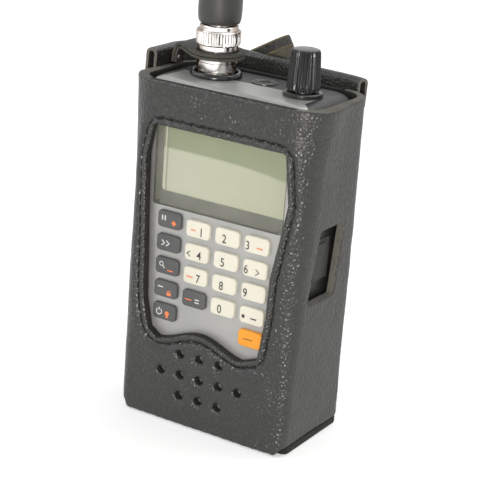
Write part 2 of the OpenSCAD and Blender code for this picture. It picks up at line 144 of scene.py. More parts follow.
def turned(name, profile, centre, steps=64):
    # A profile of (radius, height) in millimetres is spun round an upright axis
    mesh = bpy.data.meshes.new(name)
    verts = [(centre[0] + r, centre[1], z) for r, z in profile]
    mesh.from_pydata(verts, [(i, i + 1) for i in range(len(verts) - 1)], [])
    spin = {"steps": steps, "angle": 2 * math.pi, "center": (centre[0], centre[1], 0), "axis": (0, 0, 1)}
    return inEditMode(newMeshPiece(name, mesh), (bpy.ops.mesh.spin, spin), merged(0.002), outwardNormals())


def softCopy(node, name, width, segments=2, angle=38):
    # A copy of a hard-edged part with its edges broken, as moulding and turning leave them
    mesh = nodes[node].data.copy()
    mesh.name = name
    piece = newMeshPiece(name, mesh)
    mesh.transform(Matrix.Scale(1 / mm, 4))
    workOn(piece)
    bpy.ops.mesh.customdata_custom_splitnormals_clear()
    flatter = {"angle_limit": math.radians(1.5)}
    inEditMode(piece, merged(0.004), (bpy.ops.mesh.dissolve_limited, flatter))
    return addBevel(piece, width, segments, angle)


class Nodes:
    def __init__(self, tree):
        self.tree = tree

    def feed(self, socket, value):
        if isinstance(value, bpy.types.NodeSocket):
            self.tree.links.new(value, socket)
        else:
            socket.default_value = value

    def put(self, node, values):
        for key, value in values.items():
            self.feed(node.inputs[key], value)
        return node

    def add(self, kind, values=None, **settings):
        made = self.tree.nodes.new(kind)
        for key, value in settings.items():
            setattr(made, key, value)
        return self.put(made, values or {})

    def math(self, operation, a, b=0.0):
        made = self.add("ShaderNodeMath", {0: a, 1: b}, operation=operation)
        return made.outputs[0]

    def remap(self, value, fromMin, fromMax, toMin=0.0, toMax=1.0):
        made = self.add("ShaderNodeMapRange", {"Value": value, "From Min": fromMin, "From Max": fromMax,
                                               "To Min": toMin, "To Max": toMax})
        return made.outputs["Result"]

    def mixColour(self, factor, a, b):
        colours = [value if isinstance(value, bpy.types.NodeSocket) else (*value[:3], 1) for value in (a, b)]
        made = self.add("ShaderNodeMix", {0: factor, 6: colours[0], 7: colours[1]}, data_type="RGBA")
        return made.outputs[2]


def newGroup(name, inputs, outputs):
    group = bpy.data.node_groups.new(name, "ShaderNodeTree")
    for label, kind, value in inputs:
        socket = group.interface.new_socket(label, in_out="INPUT", socket_type=kind)
        if value is not None:
            socket.default_value = value
    for label, kind in outputs:
        group.interface.new_socket(label, in_out="OUTPUT", socket_type=kind)
    made = Nodes(group)
    return group, made, group.nodes.new("NodeGroupInput"), group.nodes.new("NodeGroupOutput")


def makeGrainGroup():
    # Pebbled leather: raised cells between creases
    inputs = [("Vector", "NodeSocketVector", None), ("Cell", "NodeSocketFloat", 0.0015),
              ("Crease", "NodeSocketFloat", 0.3)]
    group, made, source, out = newGroup("leatherGrain", inputs,
                                        [("Height", "NodeSocketFloat"), ("Crease", "NodeSocketFloat"),
                                         ("Mottle", "NodeSocketFloat")])
    place = source.outputs["Vector"]
    scale = made.math("DIVIDE", 1.0, source.outputs["Cell"])
    warp = made.add("ShaderNodeTexNoise", {"Vector": place, "Scale": 420.0, "Detail": 2.0})
    warpSize = (0.0011, 0.0011, 0.0011)
    shift = made.add("ShaderNodeVectorMath", {0: warp.outputs["Color"], 1: warpSize, 2: place},
                     operation="MULTIPLY_ADD").outputs[0]
    cells = made.add("ShaderNodeTexVoronoi", {"Vector": shift, "Scale": scale}, feature="DISTANCE_TO_EDGE")
    rounded = made.add("ShaderNodeTexVoronoi", {"Vector": shift, "Scale": scale}, feature="SMOOTH_F1")
    crease = made.add("ShaderNodeMapRange", {"Value": cells.outputs["Distance"], "From Min": 0.0,
                                             "From Max": source.outputs["Crease"]},
                      interpolation_type="SMOOTHSTEP").outputs["Result"]
    fine = made.add("ShaderNodeTexNoise", {"Vector": place, "Scale": 2600.0, "Detail": 3.0})
    dome = made.math("SUBTRACT", 1.0, rounded.outputs["Distance"])
    height = made.math("ADD", made.math("MULTIPLY", dome, 0.55), made.math("MULTIPLY", crease, 0.5))
    height = made.math("ADD", height, made.math("MULTIPLY", fine.outputs["Fac"], 0.04))
    mottle = made.add("ShaderNodeTexNoise", {"Vector": place, "Scale": 70.0, "Detail": 3.0})
    made.put(out, {"Height": height, "Crease": crease, "Mottle": mottle.outputs["Fac"]})
    return group


def makeSpeckleGroup():
    # Fine moulded or brushed texture with soft smudges
    inputs = [("Vector", "NodeSocketVector", None), ("Grain", "NodeSocketFloat", 3000.0),
              ("Smudge", "NodeSocketFloat", 90.0)]
    group, made, source, out = newGroup("fineSurface", inputs,
                                        [("Height", "NodeSocketFloat"), ("Smudge", "NodeSocketFloat")])
    place = source.outputs["Vector"]
    grain = made.add("ShaderNodeTexNoise", {"Vector": place, "Scale": source.outputs["Grain"], "Detail": 2.0})
    smudge = made.add("ShaderNodeTexNoise", {"Vector": place, "Scale": source.outputs["Smudge"],
                                             "Detail": 4.0})
    made.put(out, {"Height": grain.outputs["Fac"], "Smudge": made.remap(smudge.outputs["Fac"], 0.3, 0.7)})
    return group


grainGroup = makeGrainGroup()
speckleGroup = makeSpeckleGroup()


def startMaterial(name):
    material = bpy.data.materials.new(name)
    material.use_nodes = True
    made = Nodes(material.node_tree)
    shader = material.node_tree.nodes["Principled BSDF"]
    place = made.add("ShaderNodeTexCoord").outputs["Object"]
    return material, made, shader, place


def grainAt(made, place, cell, crease):
    return made.add("ShaderNodeGroup", {"Vector": place, "Cell": cell, "Crease": crease},
                    node_tree=grainGroup).outputs


def speckleAt(made, place, grain, smudge):
    found = made.add("ShaderNodeGroup", {"Vector": place, "Grain": grain, "Smudge": smudge},
                     node_tree=speckleGroup).outputs
    return found["Height"], found["Smudge"]


def bumpOf(made, height, distance):
    bump = made.add("ShaderNodeBump", {"Height": height, "Distance": distance, "Strength": 1.0})
    return bump.outputs["Normal"]


def plastic(name, colour, worn, roughness, grain=2600.0, depth=0.00002, metal=0.0, specular=0.5):
    material, made, shader, place = startMaterial(name)
    height, smudge = speckleAt(made, place, grain, 80.0)
    made.put(shader, {"Base Color": made.mixColour(smudge, colour, worn),
                      "Roughness": made.remap(smudge, 0.0, 1.0, roughness * 0.88, roughness * 1.12),
                      "Metallic": metal, "Specular IOR Level": specular,
                      "Normal": bumpOf(made, height, depth)})
    return material


def leather(name, colour, creaseShadeColour, cell, depth, rough, specular=0.5):
    material, made, shader, place = startMaterial(name)
    grain = grainAt(made, place, cell, 0.3)
    # The creases take the darker crease colour: painted shade in the grain's creases.
    tone = made.mixColour(grain["Crease"], creaseShadeColour, colour)
    mottle = made.remap(grain["Mottle"], 0.45, 0.75, 0.0, 0.5)
    made.put(shader, {"Base Color": made.mixColour(mottle, tone, [1.5 * c for c in colour]),
                      "Roughness": made.remap(grain["Crease"], 0.0, 1.0, rough * 1.5, rough),
                      "Specular IOR Level": specular, "Normal": bumpOf(made, grain["Height"], depth)})
    return material


def wrapLeatherMaterial(name, front, side):
    # One hide with coarse glossy pebbles in front and a fine slanting grain on the sides
    material, made, shader, place = startMaterial(name)
    mask = made.add("ShaderNodeAttribute", attribute_name="sideShare").outputs["Fac"]
    unmasked = made.math("SUBTRACT", 1.0, mask)
    pebbles = grainAt(made, place, front["cell"], 0.34)
    slant = made.add("ShaderNodeMapping",
                     {"Vector": place, "Rotation": side["turn"], "Scale": side["stretch"]})
    fine = grainAt(made, slant.outputs[0], side["cell"], 0.3)
    # Both grains are painted darker in their creases: painted shade.
    tone = made.mixColour(mask, made.mixColour(pebbles["Crease"], front["crease"], front["colour"]),
                          made.mixColour(fine["Crease"], side["crease"], side["colour"]))
    lighter = made.mixColour(mask, [1.45 * c for c in front["colour"]], [1.35 * c for c in side["colour"]])
    mottle = made.remap(pebbles["Mottle"], 0.45, 0.75, 0.0, 0.6)
    roughFront = made.remap(pebbles["Crease"], 0.0, 1.0, front["rough"] * 1.5, front["rough"])
    rough = made.math("ADD", made.math("MULTIPLY", roughFront, unmasked),
                      made.math("MULTIPLY", mask, side["rough"]))
    height = made.math("ADD", made.math("MULTIPLY", pebbles["Height"], unmasked),
                       made.math("MULTIPLY", fine["Height"], made.math("MULTIPLY", mask, side["relief"])))
    made.put(shader, {"Base Color": made.mixColour(mottle, tone, lighter), "Roughness": rough,
                      "Specular IOR Level": front["specular"],
                      "Normal": bumpOf(made, height, front["depth"])})
    return material


# Each crease colour is painted shade, put into that grain's creases.
looks = {
    "frontLeather": {"colour": (0.008, 0.0076, 0.0056), "crease": (0.004, 0.004, 0.003), "cell": 0.0014,
                     "depth": 0.00025, "rough": 0.25, "specular": 0.75},
    "sideLeather": {"colour": (0.026, 0.025, 0.020), "crease": (0.010, 0.009, 0.008), "cell": 0.0012,
                    "rough": 0.5, "relief": 1.4, "turn": (0.6, 0.0, 0.0), "stretch": (1, 1, 0.45)},
}

wrapLeather = wrapLeatherMaterial("wrapLeather", looks["frontLeather"], looks["sideLeather"])


def chromeMaterial():
    # Polished nickel with a painted reflection: the base colour is painted bright where it faces the eye and
    # dark brown where it turns away
    material, made, shader, place = startMaterial("chrome")
    height, smudge = speckleAt(made, place, 900.0, 260.0)
    facing = made.add("ShaderNodeLayerWeight", {"Blend": 0.5}).outputs["Facing"]
    facing = made.math("ADD", facing, made.remap(smudge, 0.0, 1.0, -0.07, 0.07))
    middle = made.mixColour(made.remap(facing, 0.12, 0.4), (0.92, 0.90, 0.87), (0.42, 0.35, 0.30))
    tone = made.mixColour(made.remap(facing, 0.5, 0.85), middle, (0.10, 0.075, 0.06))
    made.put(shader, {"Base Color": tone, "Metallic": 1.0, "Roughness": 0.16,
                      "Normal": bumpOf(made, height, 0.000006)})
    return material


def lensMaterial():
    material, made, shader, place = startMaterial("clearLens")
    smudge = speckleAt(made, place, 1500.0, 60.0)[1]
    made.put(shader, {"Base Color": made.mixColour(smudge, (0.62, 0.65, 0.52), (0.7, 0.72, 0.6)),
                      "Roughness": made.remap(smudge, 0.0, 1.0, 0.05, 0.12),
                      "Alpha": made.remap(smudge, 0.0, 1.0, 0.09, 0.14)})
    return material


def displayMaterial():
    # A bare display: green above, paler below, where a reflection of the room is painted in, with its edge
    # lines
    material, made, shader, place = startMaterial("lcdGlass")
    split = made.add("ShaderNodeSeparateXYZ", {"Vector": place})
    x, z = split.outputs["X"], split.outputs["Z"]
    along = made.math("MAXIMUM", made.math("ADD", x, 0.005), 0.0)
    bow = made.math("MULTIPLY", made.math("POWER", along, 2.0), -2.9)
    # Painted reflection: below a bowed line the colour is painted paler, as the room reflected in the
    # display.
    paintedReflection = made.remap(made.math("SUBTRACT", z, made.math("ADD", bow, 0.0951)), 0.0004, -0.0006)
    haze = made.add("ShaderNodeTexNoise", {"Vector": place, "Scale": 45.0, "Detail": 3.0}).outputs["Fac"]
    green = made.mixColour(made.remap(haze, 0.35, 0.65), (0.21, 0.245, 0.12), (0.24, 0.28, 0.145))
    paintedReflectionTone = made.mixColour(made.remap(x, -0.02, 0.024), (0.52, 0.53, 0.41), (0.43, 0.45, 0.32))
    tone = made.mixColour(paintedReflection, green, paintedReflectionTone)
    for left, right, share, colour in ((-0.0229, -0.0224, 1.0, (0.62, 0.63, 0.52)),
                                       (-0.0224, -0.0216, 0.55, (0.16, 0.17, 0.12))):
        line = made.math("MULTIPLY", made.math("GREATER_THAN", x, left), made.math("LESS_THAN", x, right))
        tone = made.mixColour(made.math("MULTIPLY", line, share), tone, colour)
    made.put(shader, {"Base Color": tone, "Roughness": made.remap(haze, 0.0, 1.0, 0.2, 0.3)})
    return material


# The second colour of each leather is painted shade, put into the grain's creases.
rawEdge = leather("rawEdge", (0.15, 0.145, 0.125), (0.10, 0.095, 0.08), 0.0006, 0.00008, 0.8)
darkEdge = leather("darkEdge", (0.022, 0.021, 0.019), (0.012, 0.012, 0.011), 0.0005, 0.0001, 0.75)
lining = leather("lining", (0.020, 0.019, 0.018), (0.011, 0.011, 0.010), 0.0004, 0.00012, 0.9)
plainLeather = leather("plainLeather", (0.028, 0.028, 0.026), (0.014, 0.014, 0.012), 0.0012, 0.00022, 0.42)
strapLeather = leather("strapLeather", (0.030, 0.029, 0.025), (0.020, 0.019, 0.017), 0.0005, 0.00012, 0.55)
hemLeather = leather("hemLeather", (0.018, 0.018, 0.017), (0.012, 0.012, 0.011), 0.0014, 0.00012, 0.24,
                     specular=0.6)
tanEdge = leather("tanEdge", (0.17, 0.13, 0.075), (0.10, 0.075, 0.045), 0.0005, 0.0001, 0.85)
oliveLeather = leather("oliveLeather", (0.080, 0.072, 0.046), (0.045, 0.040, 0.027), 0.0006, 0.0001, 0.45)
thread = leather("thread", (0.012, 0.012, 0.011), (0.006, 0.006, 0.006), 0.00025, 0.0001, 0.6)
strapEdge = leather("strapEdge", (0.085, 0.083, 0.068), (0.05, 0.049, 0.04), 0.0005, 0.00008, 0.8)
silverPlastic = plastic("silverPlastic", (0.36, 0.36, 0.35), (0.42, 0.42, 0.405), 0.36, 5200.0, 0.000012,
                        metal=0.35)
blackPlastic = plastic("blackPlastic", (0.022, 0.022, 0.022), (0.032, 0.032, 0.031), 0.42)
glossBlack = plastic("glossBlack", (0.010, 0.010, 0.010), (0.016, 0.016, 0.016), 0.14, 1500.0, 0.000006)
keyIvory = plastic("keyIvory", (0.72, 0.69, 0.58), (0.78, 0.75, 0.64), 0.45, 4000.0, 0.00001)
keyDark = plastic("keyDark", (0.075, 0.076, 0.078), (0.10, 0.10, 0.10), 0.5, 4000.0, 0.00001)
keyOrange = plastic("keyOrange", (0.86, 0.31, 0.022), (0.92, 0.38, 0.03), 0.42, 4000.0, 0.00001)
markDark = plastic("markDark", (0.035, 0.035, 0.035), (0.05, 0.05, 0.05), 0.5)
markLight = plastic("markLight", (0.62, 0.62, 0.60), (0.7, 0.7, 0.68), 0.5)
steel = plastic("steel", (0.52, 0.51, 0.49), (0.42, 0.41, 0.39), 0.3, 2200.0, 0.00001, metal=1.0)
rubber = plastic("rubber", (0.028, 0.028, 0.027), (0.042, 0.042, 0.040), 0.46, 3200.0, 0.00002)
greenBoard = plastic("greenBoard", (0.03, 0.13, 0.05), (0.04, 0.17, 0.07), 0.4)
brass = plastic("brass", (0.62, 0.43, 0.2), (0.5, 0.34, 0.16), 0.32, metal=1.0)
cellJacket = plastic("cellJacket", (0.06, 0.11, 0.18), (0.08, 0.14, 0.22), 0.3)
backlightWhite = plastic("backlightWhite", (0.75, 0.74, 0.66), (0.8, 0.79, 0.72), 0.5)
# Darker plastic for the walls of the key wells: painted shade in these recesses.
paintedWellShade = plastic("paintedWellShade", (0.13, 0.13, 0.125), (0.16, 0.16, 0.15), 0.5)
lensMask = plastic("lensMask", (0.055, 0.054, 0.050), (0.065, 0.063, 0.059), 0.3)
markOrange = plastic("markOrange", (0.85, 0.20, 0.07), (0.9, 0.26, 0.1), 0.5)
markBrown = plastic("markBrown", (0.30, 0.13, 0.03), (0.36, 0.16, 0.04), 0.5)
knobPlastic = plastic("knobPlastic", (0.007, 0.007, 0.007), (0.011, 0.011, 0.011), 0.2, specular=0.4)
ringPlastic = plastic("ringPlastic", (0.020, 0.020, 0.019), (0.03, 0.03, 0.028), 0.26)
jackRing = plastic("jackRing", (0.05, 0.049, 0.045), (0.07, 0.068, 0.062), 0.28)
sleeveRubber = plastic("sleeveRubber", (0.030, 0.030, 0.029), (0.042, 0.042, 0.040), 0.42, 3000.0, 0.00002)
portRubber = plastic("portRubber", (0.032, 0.032, 0.031), (0.05, 0.05, 0.047), 0.6, 2600.0, 0.00003)
chrome = chromeMaterial()
clearLens = lensMaterial()
lcdGlass = displayMaterial()
print("materials made")


wrapLow, wrapHigh = boxOf("case_wrap")
case = {
    "baseHalf": 32.9,
    "mouthHalf": wrapHigh.x,
    "height": wrapHigh.z,
    "front": wrapLow.y,
    "back": wrapHigh.y,
    "thick": 3.0,
    "baseCorner": 3.0,
    "mouthCorner": 10.0,
    "sideFoot": 3.2,        # the side panels stop above the bottom flap
    "frontFoot": 0.5,       # the front runs down to the ground
    "backSeam": 24.0,
    "edgeRound": 0.75,
    "grid": 1.5,
    "cornerGrid": 0.85,
}
window = {
    "foot": 29.6, "bump": 4.8, "wave": 36.0, "waveX": -2.5, "corner": 3.2,
    "right": [(22.9, 29.6), (22.6, 48), (23, 61), (25.9, 77), (27.7, 87), (27.8, 105.7)],
    "left": [(-27.2, 105.7), (-27.5, 92), (-25.2, 42), (-24.8, 29.6)],
    "rings": (0.25, 0.55, 0.95, 1.4, 1.8, 2.2, 2.6, 3.0, 3.5, 4.2),
    "stitchIn": 2.35, "stitchPitch": 3.9, "groove": 0.5, "lip": 0.22,
}
punch = {"radius": 1.4, "rows": [(3, 26, -1.5), (5, 18.4, -1.2), (3, 10.8, -1.1)], "pitch": 7.7,
         "rings": (0.25, 0.55, 1.0, 1.6), "dish": 0.35}
# Each swell or dent of the wrap: how high, how wide, and where it lies
relief = {
    "seamWide": 0.75, "stitchHole": 0.5, "stitchWide": 0.55, "lipAt": 1.1, "lipWide": 0.7,
    "puff": 0.25, "puffAt": 4.6, "puffWide": 1.8, "dishWide": 0.9,
    "flareFrom": 88, "flareRight": 2.0, "flareLeft": 1.6, "flareAt": -9.5, "flareWide": 8.5,
    "belly": 0.55, "bellyAt": 16, "bellyWide": 16, "fade": 8,
    "waves": ((0.35, 19, 23, 1.7), (0.12, 6, 7, 5.1)),
}
portCut = {"corners": [(-12.2, 52.4), (5.2, 52), (7.8, 77.4), (-8.6, 77.6)], "round": 1.2,
           "rings": (0.3, 0.7, 1.3)}


def caseHalf(z):
    return case["baseHalf"] + (case["mouthHalf"] - case["baseHalf"]) * z / case["height"]


def caseCorner(z):
    return case["baseCorner"] + (case["mouthCorner"] - case["baseCorner"]) * z / case["height"]


def wrapStations(z):
    # Distances from the front's middle to where each bend starts and ends
    half, corner = caseHalf(z), caseCorner(z)
    bendStart = half - corner
    bendEnd = bendStart + corner * math.pi / 2
    rearStart = bendEnd + case["back"] - case["front"] - 2 * corner
    rearEnd = rearStart + corner * math.pi / 2
    return bendStart, bendEnd, rearStart, rearEnd, rearEnd + bendStart - case["backSeam"]


def wrapPoint(u, z, depth):
    # From the flat cut (distance round the case, height, depth into the leather) to its place
    half, corner = caseHalf(z), caseCorner(z)
    bendStart, bendEnd, rearStart, rearEnd = wrapStations(z)[:4]
    s, side = abs(u), (1 if u >= 0 else -1)
    radius = max(corner - depth, 0.35)
    if s <= bendStart:
        x, y = s, case["front"] + depth
    elif s <= bendEnd:
        a = (s - bendStart) / corner
        x, y = bendStart + radius * math.sin(a), case["front"] + corner - radius * math.cos(a)
    elif s <= rearStart:
        x, y = half - depth, case["front"] + corner + s - bendEnd
    elif s <= rearEnd:
        a = (s - rearStart) / corner
        x, y = bendStart + radius * math.cos(a), case["back"] - corner + radius * math.sin(a)
    else:
        x, y = bendStart - (s - rearEnd), case["back"] - depth
    return Vector((side * x, y, z))


def sidePlace(y, z):
    bendEnd = wrapStations(z)[1]
    return Vector((bendEnd + y - case["front"] - caseCorner(z), z))


def spaced(outline, gap):
    # The same closed outline with its points at even distances
    points = [Vector(p) for p in outline]
    lengths = [(points[(i + 1) % len(points)] - points[i]).length for i in range(len(points))]
    count = max(8, round(sum(lengths) / gap))
    step, result, i, walked = sum(lengths) / count, [], 0, 0.0
    for k in range(count):
        while walked + lengths[i] < k * step:
            walked += lengths[i]
            i += 1
        t = (k * step - walked) / lengths[i]
        result.append(points[i].lerp(points[(i + 1) % len(points)], t))
    return result


def roundedOutline(corners, radius, steps=6):
    # A closed outline with each sharp corner turned into an arc, counter-clockwise
    result = []
    for i, corner in enumerate(corners):
        p, before, after = Vector(corner), Vector(corners[i - 1]), Vector(corners[(i + 1) % len(corners)])
        inward, onward = (before - p).normalized(), (after - p).normalized()
        halfAngle = inward.angle(onward) / 2
        if halfAngle > math.radians(78):
            result.append(p)
            continue
        reach = min(radius / math.tan(halfAngle), (before - p).length / 2, (after - p).length / 2)
        centre = p + (inward + onward).normalized() * reach / math.cos(halfAngle)
        a, b = p + inward * reach - centre, p + onward * reach - centre
        for k in range(steps + 1):
            result.append(centre + (a.slerp(b, k / steps) if a.angle(b) > 0.001 else a))
    return result


def windowOutline():
    wave = []
    for k in range(1, 24):
        x = window["waveX"] + window["wave"] * (k / 24 - 0.5)
        wave.append((x, window["foot"] + window["bump"] * (0.5 - 0.5 * math.cos(2 * math.pi * k / 24))))
    corners = window["right"] + window["left"] + wave
    return spaced(roundedOutline(corners, window["corner"]), 0.9)


def ringAround(outline, distance):
    # The outline moved outwards; negative moves it inwards
    ring = []
    for i in range(len(outline)):
        ahead = outline[(i + 1) % len(outline)] - outline[i - 1]
        ring.append(outline[i] + Vector((ahead.y, -ahead.x)).normalized() * distance)
    return ring


def isInside(point, outline):
    inside, last = False, outline[-1]
    for p in outline:
        if (p.y > point.y) != (last.y > point.y):
            if point.x < (last.x - p.x) * (point.y - p.y) / (last.y - p.y) + p.x:
                inside = not inside
        last = p
    return inside


def treeOf(points):
    tree = kdtree.KDTree(len(points))
    for i, p in enumerate(points):
        tree.insert((p.x, p.y, 0), i)
    tree.balance()
    return tree


def away(tree, point):
    return tree.find((point.x, point.y, 0))[2]


def wrapBorder():
    top = case["height"]
    seamTop, seamFoot = wrapStations(top)[4], wrapStations(case["sideFoot"])[4]
    bendFoot = wrapStations(0)[0]
    foot = [(-seamFoot, case["sideFoot"]), (-bendFoot - 2.2, case["sideFoot"]),
            (-bendFoot, case["frontFoot"]), (bendFoot, case["frontFoot"]),
            (bendFoot + 2.8, case["sideFoot"]), (seamFoot, case["sideFoot"])]
    return spaced(foot + [(seamTop, top), (-seamTop, top)], 1.3)


def punchCentres():
    return [Vector((x + (k - (count - 1) / 2) * punch["pitch"], z))
            for count, z, x in punch["rows"] for k in range(count)]


def circleOutline(centre, radius, count):
    return [centre + Vector((math.cos(2 * math.pi * k / count), math.sin(2 * math.pi * k / count))) * radius
            for k in range(count)]


def bump(x, width):
    return math.exp(-(x / width) ** 2)


windowEdge = windowOutline()
stitchPath = spaced(ringAround(spaced(windowEdge, 2.0), window["stitchIn"]), window["stitchPitch"])
holeCentres = punchCentres()
portEdge = spaced([sidePlace(y, z) for y, z in roundedOutline(
    [Vector(c) for c in portCut["corners"]], portCut["round"])], 0.9)


def wrapDepth(u, z, edgeGap, trees):
    # How far the surface lies below the plain form: rounded edges, the sewn groove, dishes and swells
    spot = Vector((u, z))
    depth = edgeDip(edgeGap, case["edgeRound"])
    lipGap = away(trees["window"], spot)
    depth += window["groove"] * bump(away(trees["stitch"], spot), relief["seamWide"])
    depth += relief["stitchHole"] * bump(away(trees["holes"], spot), relief["stitchWide"])
    depth -= window["lip"] * bump(lipGap - relief["lipAt"], relief["lipWide"])
    depth -= relief["puff"] * bump(lipGap - relief["puffAt"], relief["puffWide"])
    hole = away(trees["punch"], spot) - punch["radius"]
    depth += punch["dish"] * bump(max(hole, 0), relief["dishWide"])
    bendStart, bendEnd = wrapStations(z)[:2]
    y = case["front"] + caseCorner(z) + abs(u) - bendEnd
    rise = max(0.0, (z - relief["flareFrom"]) / (case["height"] - relief["flareFrom"]))
    flare = relief["flareRight"] if u > 0 else relief["flareLeft"]
    onSide = min(1, max(0, (abs(u) - bendStart) / relief["fade"]))
    onFront = min(1, max(0, (bendStart - abs(u)) / relief["fade"]))
    depth -= flare * rise ** 2 * bump(y - relief["flareAt"], relief["flareWide"]) * onSide
    depth -= relief["belly"] * onFront * bump(z - relief["bellyAt"], relief["bellyWide"])
    for high, wide, tall, layer in relief["waves"]:
        depth -= high * noise.noise(Vector((u / wide, z / tall, layer)))
    return depth


def leatherSolid(name, points, faces, outlines, place, depthAt, thick, roundIn=0.4, rimFront=None):
    # Two skins and the cut edge between them, closed all round
    border = treeOf([p for outline in outlines for p in spaced(outline, 0.3)])
    solid = bmesh.new()
    outer, inner = [], []
    for p in points:
        gap = away(border, p)
        outer.append(solid.verts.new(place(p.x, p.y, depthAt(p.x, p.y, gap))))
        back = thick - max(0, roundIn - gap) * 0.8
        inner.append(solid.verts.new(place(p.x, p.y, back)))
    edgeUse = {}
    for face in faces:
        solid.faces.new([outer[i] for i in face])
        lower = solid.faces.new([inner[i] for i in reversed(face)])
        lower.material_index = 2
        for a, b in zip(face, list(face[1:]) + [face[0]]):
            edgeUse[(a, b)] = edgeUse.get((a, b), 0) + 1
    for a, b in edgeUse:
        if (b, a) not in edgeUse:
            rim = solid.faces.new([outer[b], outer[a], inner[a], inner[b]])
            rim.material_index = rimFront(points[a]) if rimFront else 1
    for vert in [v for v in solid.verts if not v.link_faces]:
        solid.verts.remove(vert)
    return fromShape(name, solid)


def cutPattern(border, openings, rings, borderRings, gridLines, keepOff, creases=()):
    # Points on the flat hide: rings along every edge, an even grid between, and the triangles
    outlines = [border] + openings
    points, edges = [], []
    for outline in outlines + list(creases):
        first = len(points)
        points.extend(outline)
        edges.extend((first + i, first + (i + 1) % len(outline)) for i in range(len(outline)))
    edgeTree = treeOf(points)
    extra = []
    for outline, distances in zip(outlines, [borderRings] + rings):
        for distance in distances:
            sign = -1 if outline is border else 1
            ringTree = treeOf(spaced(outline, 0.3))
            for p in ringAround(outline, sign * distance):
                if away(ringTree, p) > distance * 0.93:
                    extra.append(p)
    reach = treeOf(extra or points)
    columns, rows = gridLines
    for j, z in enumerate(rows):
        for i, u in enumerate(columns):
            p = Vector((u + (0.5 * (columns[min(i + 1, len(columns) - 1)] - u) if j % 2 else 0), z))
            if away(reach, p) > keepOff and away(edgeTree, p) > keepOff:
                extra.append(p)
    for p in extra:
        if isInside(p, border) and not any(isInside(p, o) for o in openings):
            points.append(p)
    found = delaunay_2d_cdt(points, edges, [], 1, 0.001)
    verts, faces = found[0], found[2]
    kept = []
    for face in faces:
        centre = sum((verts[i] for i in face), Vector((0, 0))) / len(face)
        if isInside(centre, border) and not any(isInside(centre, o) for o in openings):
            kept.append(list(face))
    return verts, kept


def linesBetween(start, end, fine, coarse, fineStart, fineEnd):
    places, at = [], start
    while at < end:
        places.append(at)
        at += fine if fineStart <= abs(at) <= fineEnd else coarse
    return places


border = wrapBorder()
punchEdges = [circleOutline(c, punch["radius"], 18) for c in holeCentres]
openings = [windowEdge, portEdge] + punchEdges
ringSets = [window["rings"], portCut["rings"]] + [punch["rings"]] * len(punchEdges)
reachOut = wrapStations(case["height"])[4]
columns = linesBetween(-reachOut, reachOut, case["cornerGrid"], case["grid"], 25, 42)
rows = linesBetween(0, case["height"], case["grid"] * 0.9, case["grid"] * 0.9, 0, 0)
flatPoints, flatFaces = cutPattern(border, openings, ringSets, (0.3, 0.8, 1.5), (columns, rows), 0.55)
print("flat wrap:", len(flatPoints), "points", len(flatFaces), "faces")

depthTrees = {"stitch": treeOf(spaced(stitchPath, 0.3)), "holes": treeOf(stitchPath),
              "window": treeOf(spaced(windowEdge, 0.3)), "punch": treeOf(holeCentres)}


def rimMaterial(p):
    # The mouth's cut edge is raw leather on the sides and dark in front
    atMouth = p.y > case["height"] - 0.6
    atPort = abs(p.x) > 36 and p.y < 100
    bendStart = wrapStations(case["height"])[0]
    return 3 if (atMouth and abs(p.x) > bendStart + 2) or (atPort and p.y > 40) else 1


caseWrap = leatherSolid("caseWrap", flatPoints, flatFaces, [border] + openings, wrapPoint,
                        lambda u, z, gap: wrapDepth(u, z, gap, depthTrees), case["thick"],
                        rimFront=rimMaterial)
sideShare = caseWrap.data.attributes.new("sideShare", "FLOAT", "POINT")
for i, vert in enumerate(caseWrap.data.vertices):
    bendStart, bendEnd = wrapStations(vert.co.z)[:2]
    around = (abs(vert.co.x) - bendStart) / max(caseHalf(vert.co.z) - bendStart, 0.1)
    deep = (vert.co.y - case["front"]) / caseCorner(vert.co.z)
    sideShare.data[i].value = min(1, max(0, (deep - 0.35) * 2.2)) * min(1, max(0, (around - 0.5) * 4))
finishPiece(caseWrap, rootBody, [wrapLeather, darkEdge, lining, rawEdge], ["case_wrap"], 50)
print("leather wrap made:", len(caseWrap.data.polygons), "faces")

stitch = {"length": 3.1, "radius": 0.3, "lift": 0.13, "sag": 0.2, "backRow": 22.0, "backPitch": 3.9}


def selectBy(piece, kind, test):
    workOn(piece)
    bpy.ops.object.mode_set(mode="EDIT")
    bpy.ops.mesh.select_mode(type=kind)
    bpy.ops.mesh.select_all(action="DESELECT")
    shape = bmesh.from_edit_mesh(piece.data)
    for item in {"EDGE": shape.edges, "FACE": shape.faces, "VERT": shape.verts}[kind]:
        item.select_set(test(item))
    bmesh.update_edit_mesh(piece.data)


def slab(name, low, high, corner, rim, along=2, rims=(0, 1), steps=(5, 3)):
    # A block in millimetres, its edges along one axis rounded, then the rims of its end faces softened
    low, high = Vector(low), Vector(high)
    deselectAll()
    bpy.ops.mesh.primitive_cube_add(size=1, location=(low + high) / 2, scale=high - low)
    piece = placed(bpy.context.object)
    piece.name = name
    piece.data.name = name
    selectBy(piece, "EDGE", lambda e: abs(e.verts[0].co[along] - e.verts[1].co[along]) > 1e-4)
    bpy.ops.mesh.bevel(offset=corner, segments=steps[0])
    ends = [(low, high)[k][along] for k in rims]
    selectBy(piece, "EDGE", lambda e: any(all(abs(v.co[along] - end) < 1e-4 for v in e.verts)
                                          for end in ends))
    bpy.ops.mesh.bevel(offset=rim, segments=steps[1])
    bpy.ops.object.mode_set(mode="OBJECT")
    return piece


def copiesOf(model, name, places):
    # One mesh of many small copies; the model itself is removed
    joined = bmesh.new()
    for place in places:
        mesh = model.data.copy()
        mesh.transform(place)
        joined.from_mesh(mesh)
        bpy.data.meshes.remove(mesh)
    bpy.data.objects.remove(model)
    return fromShape(name, joined, recalculate=False)


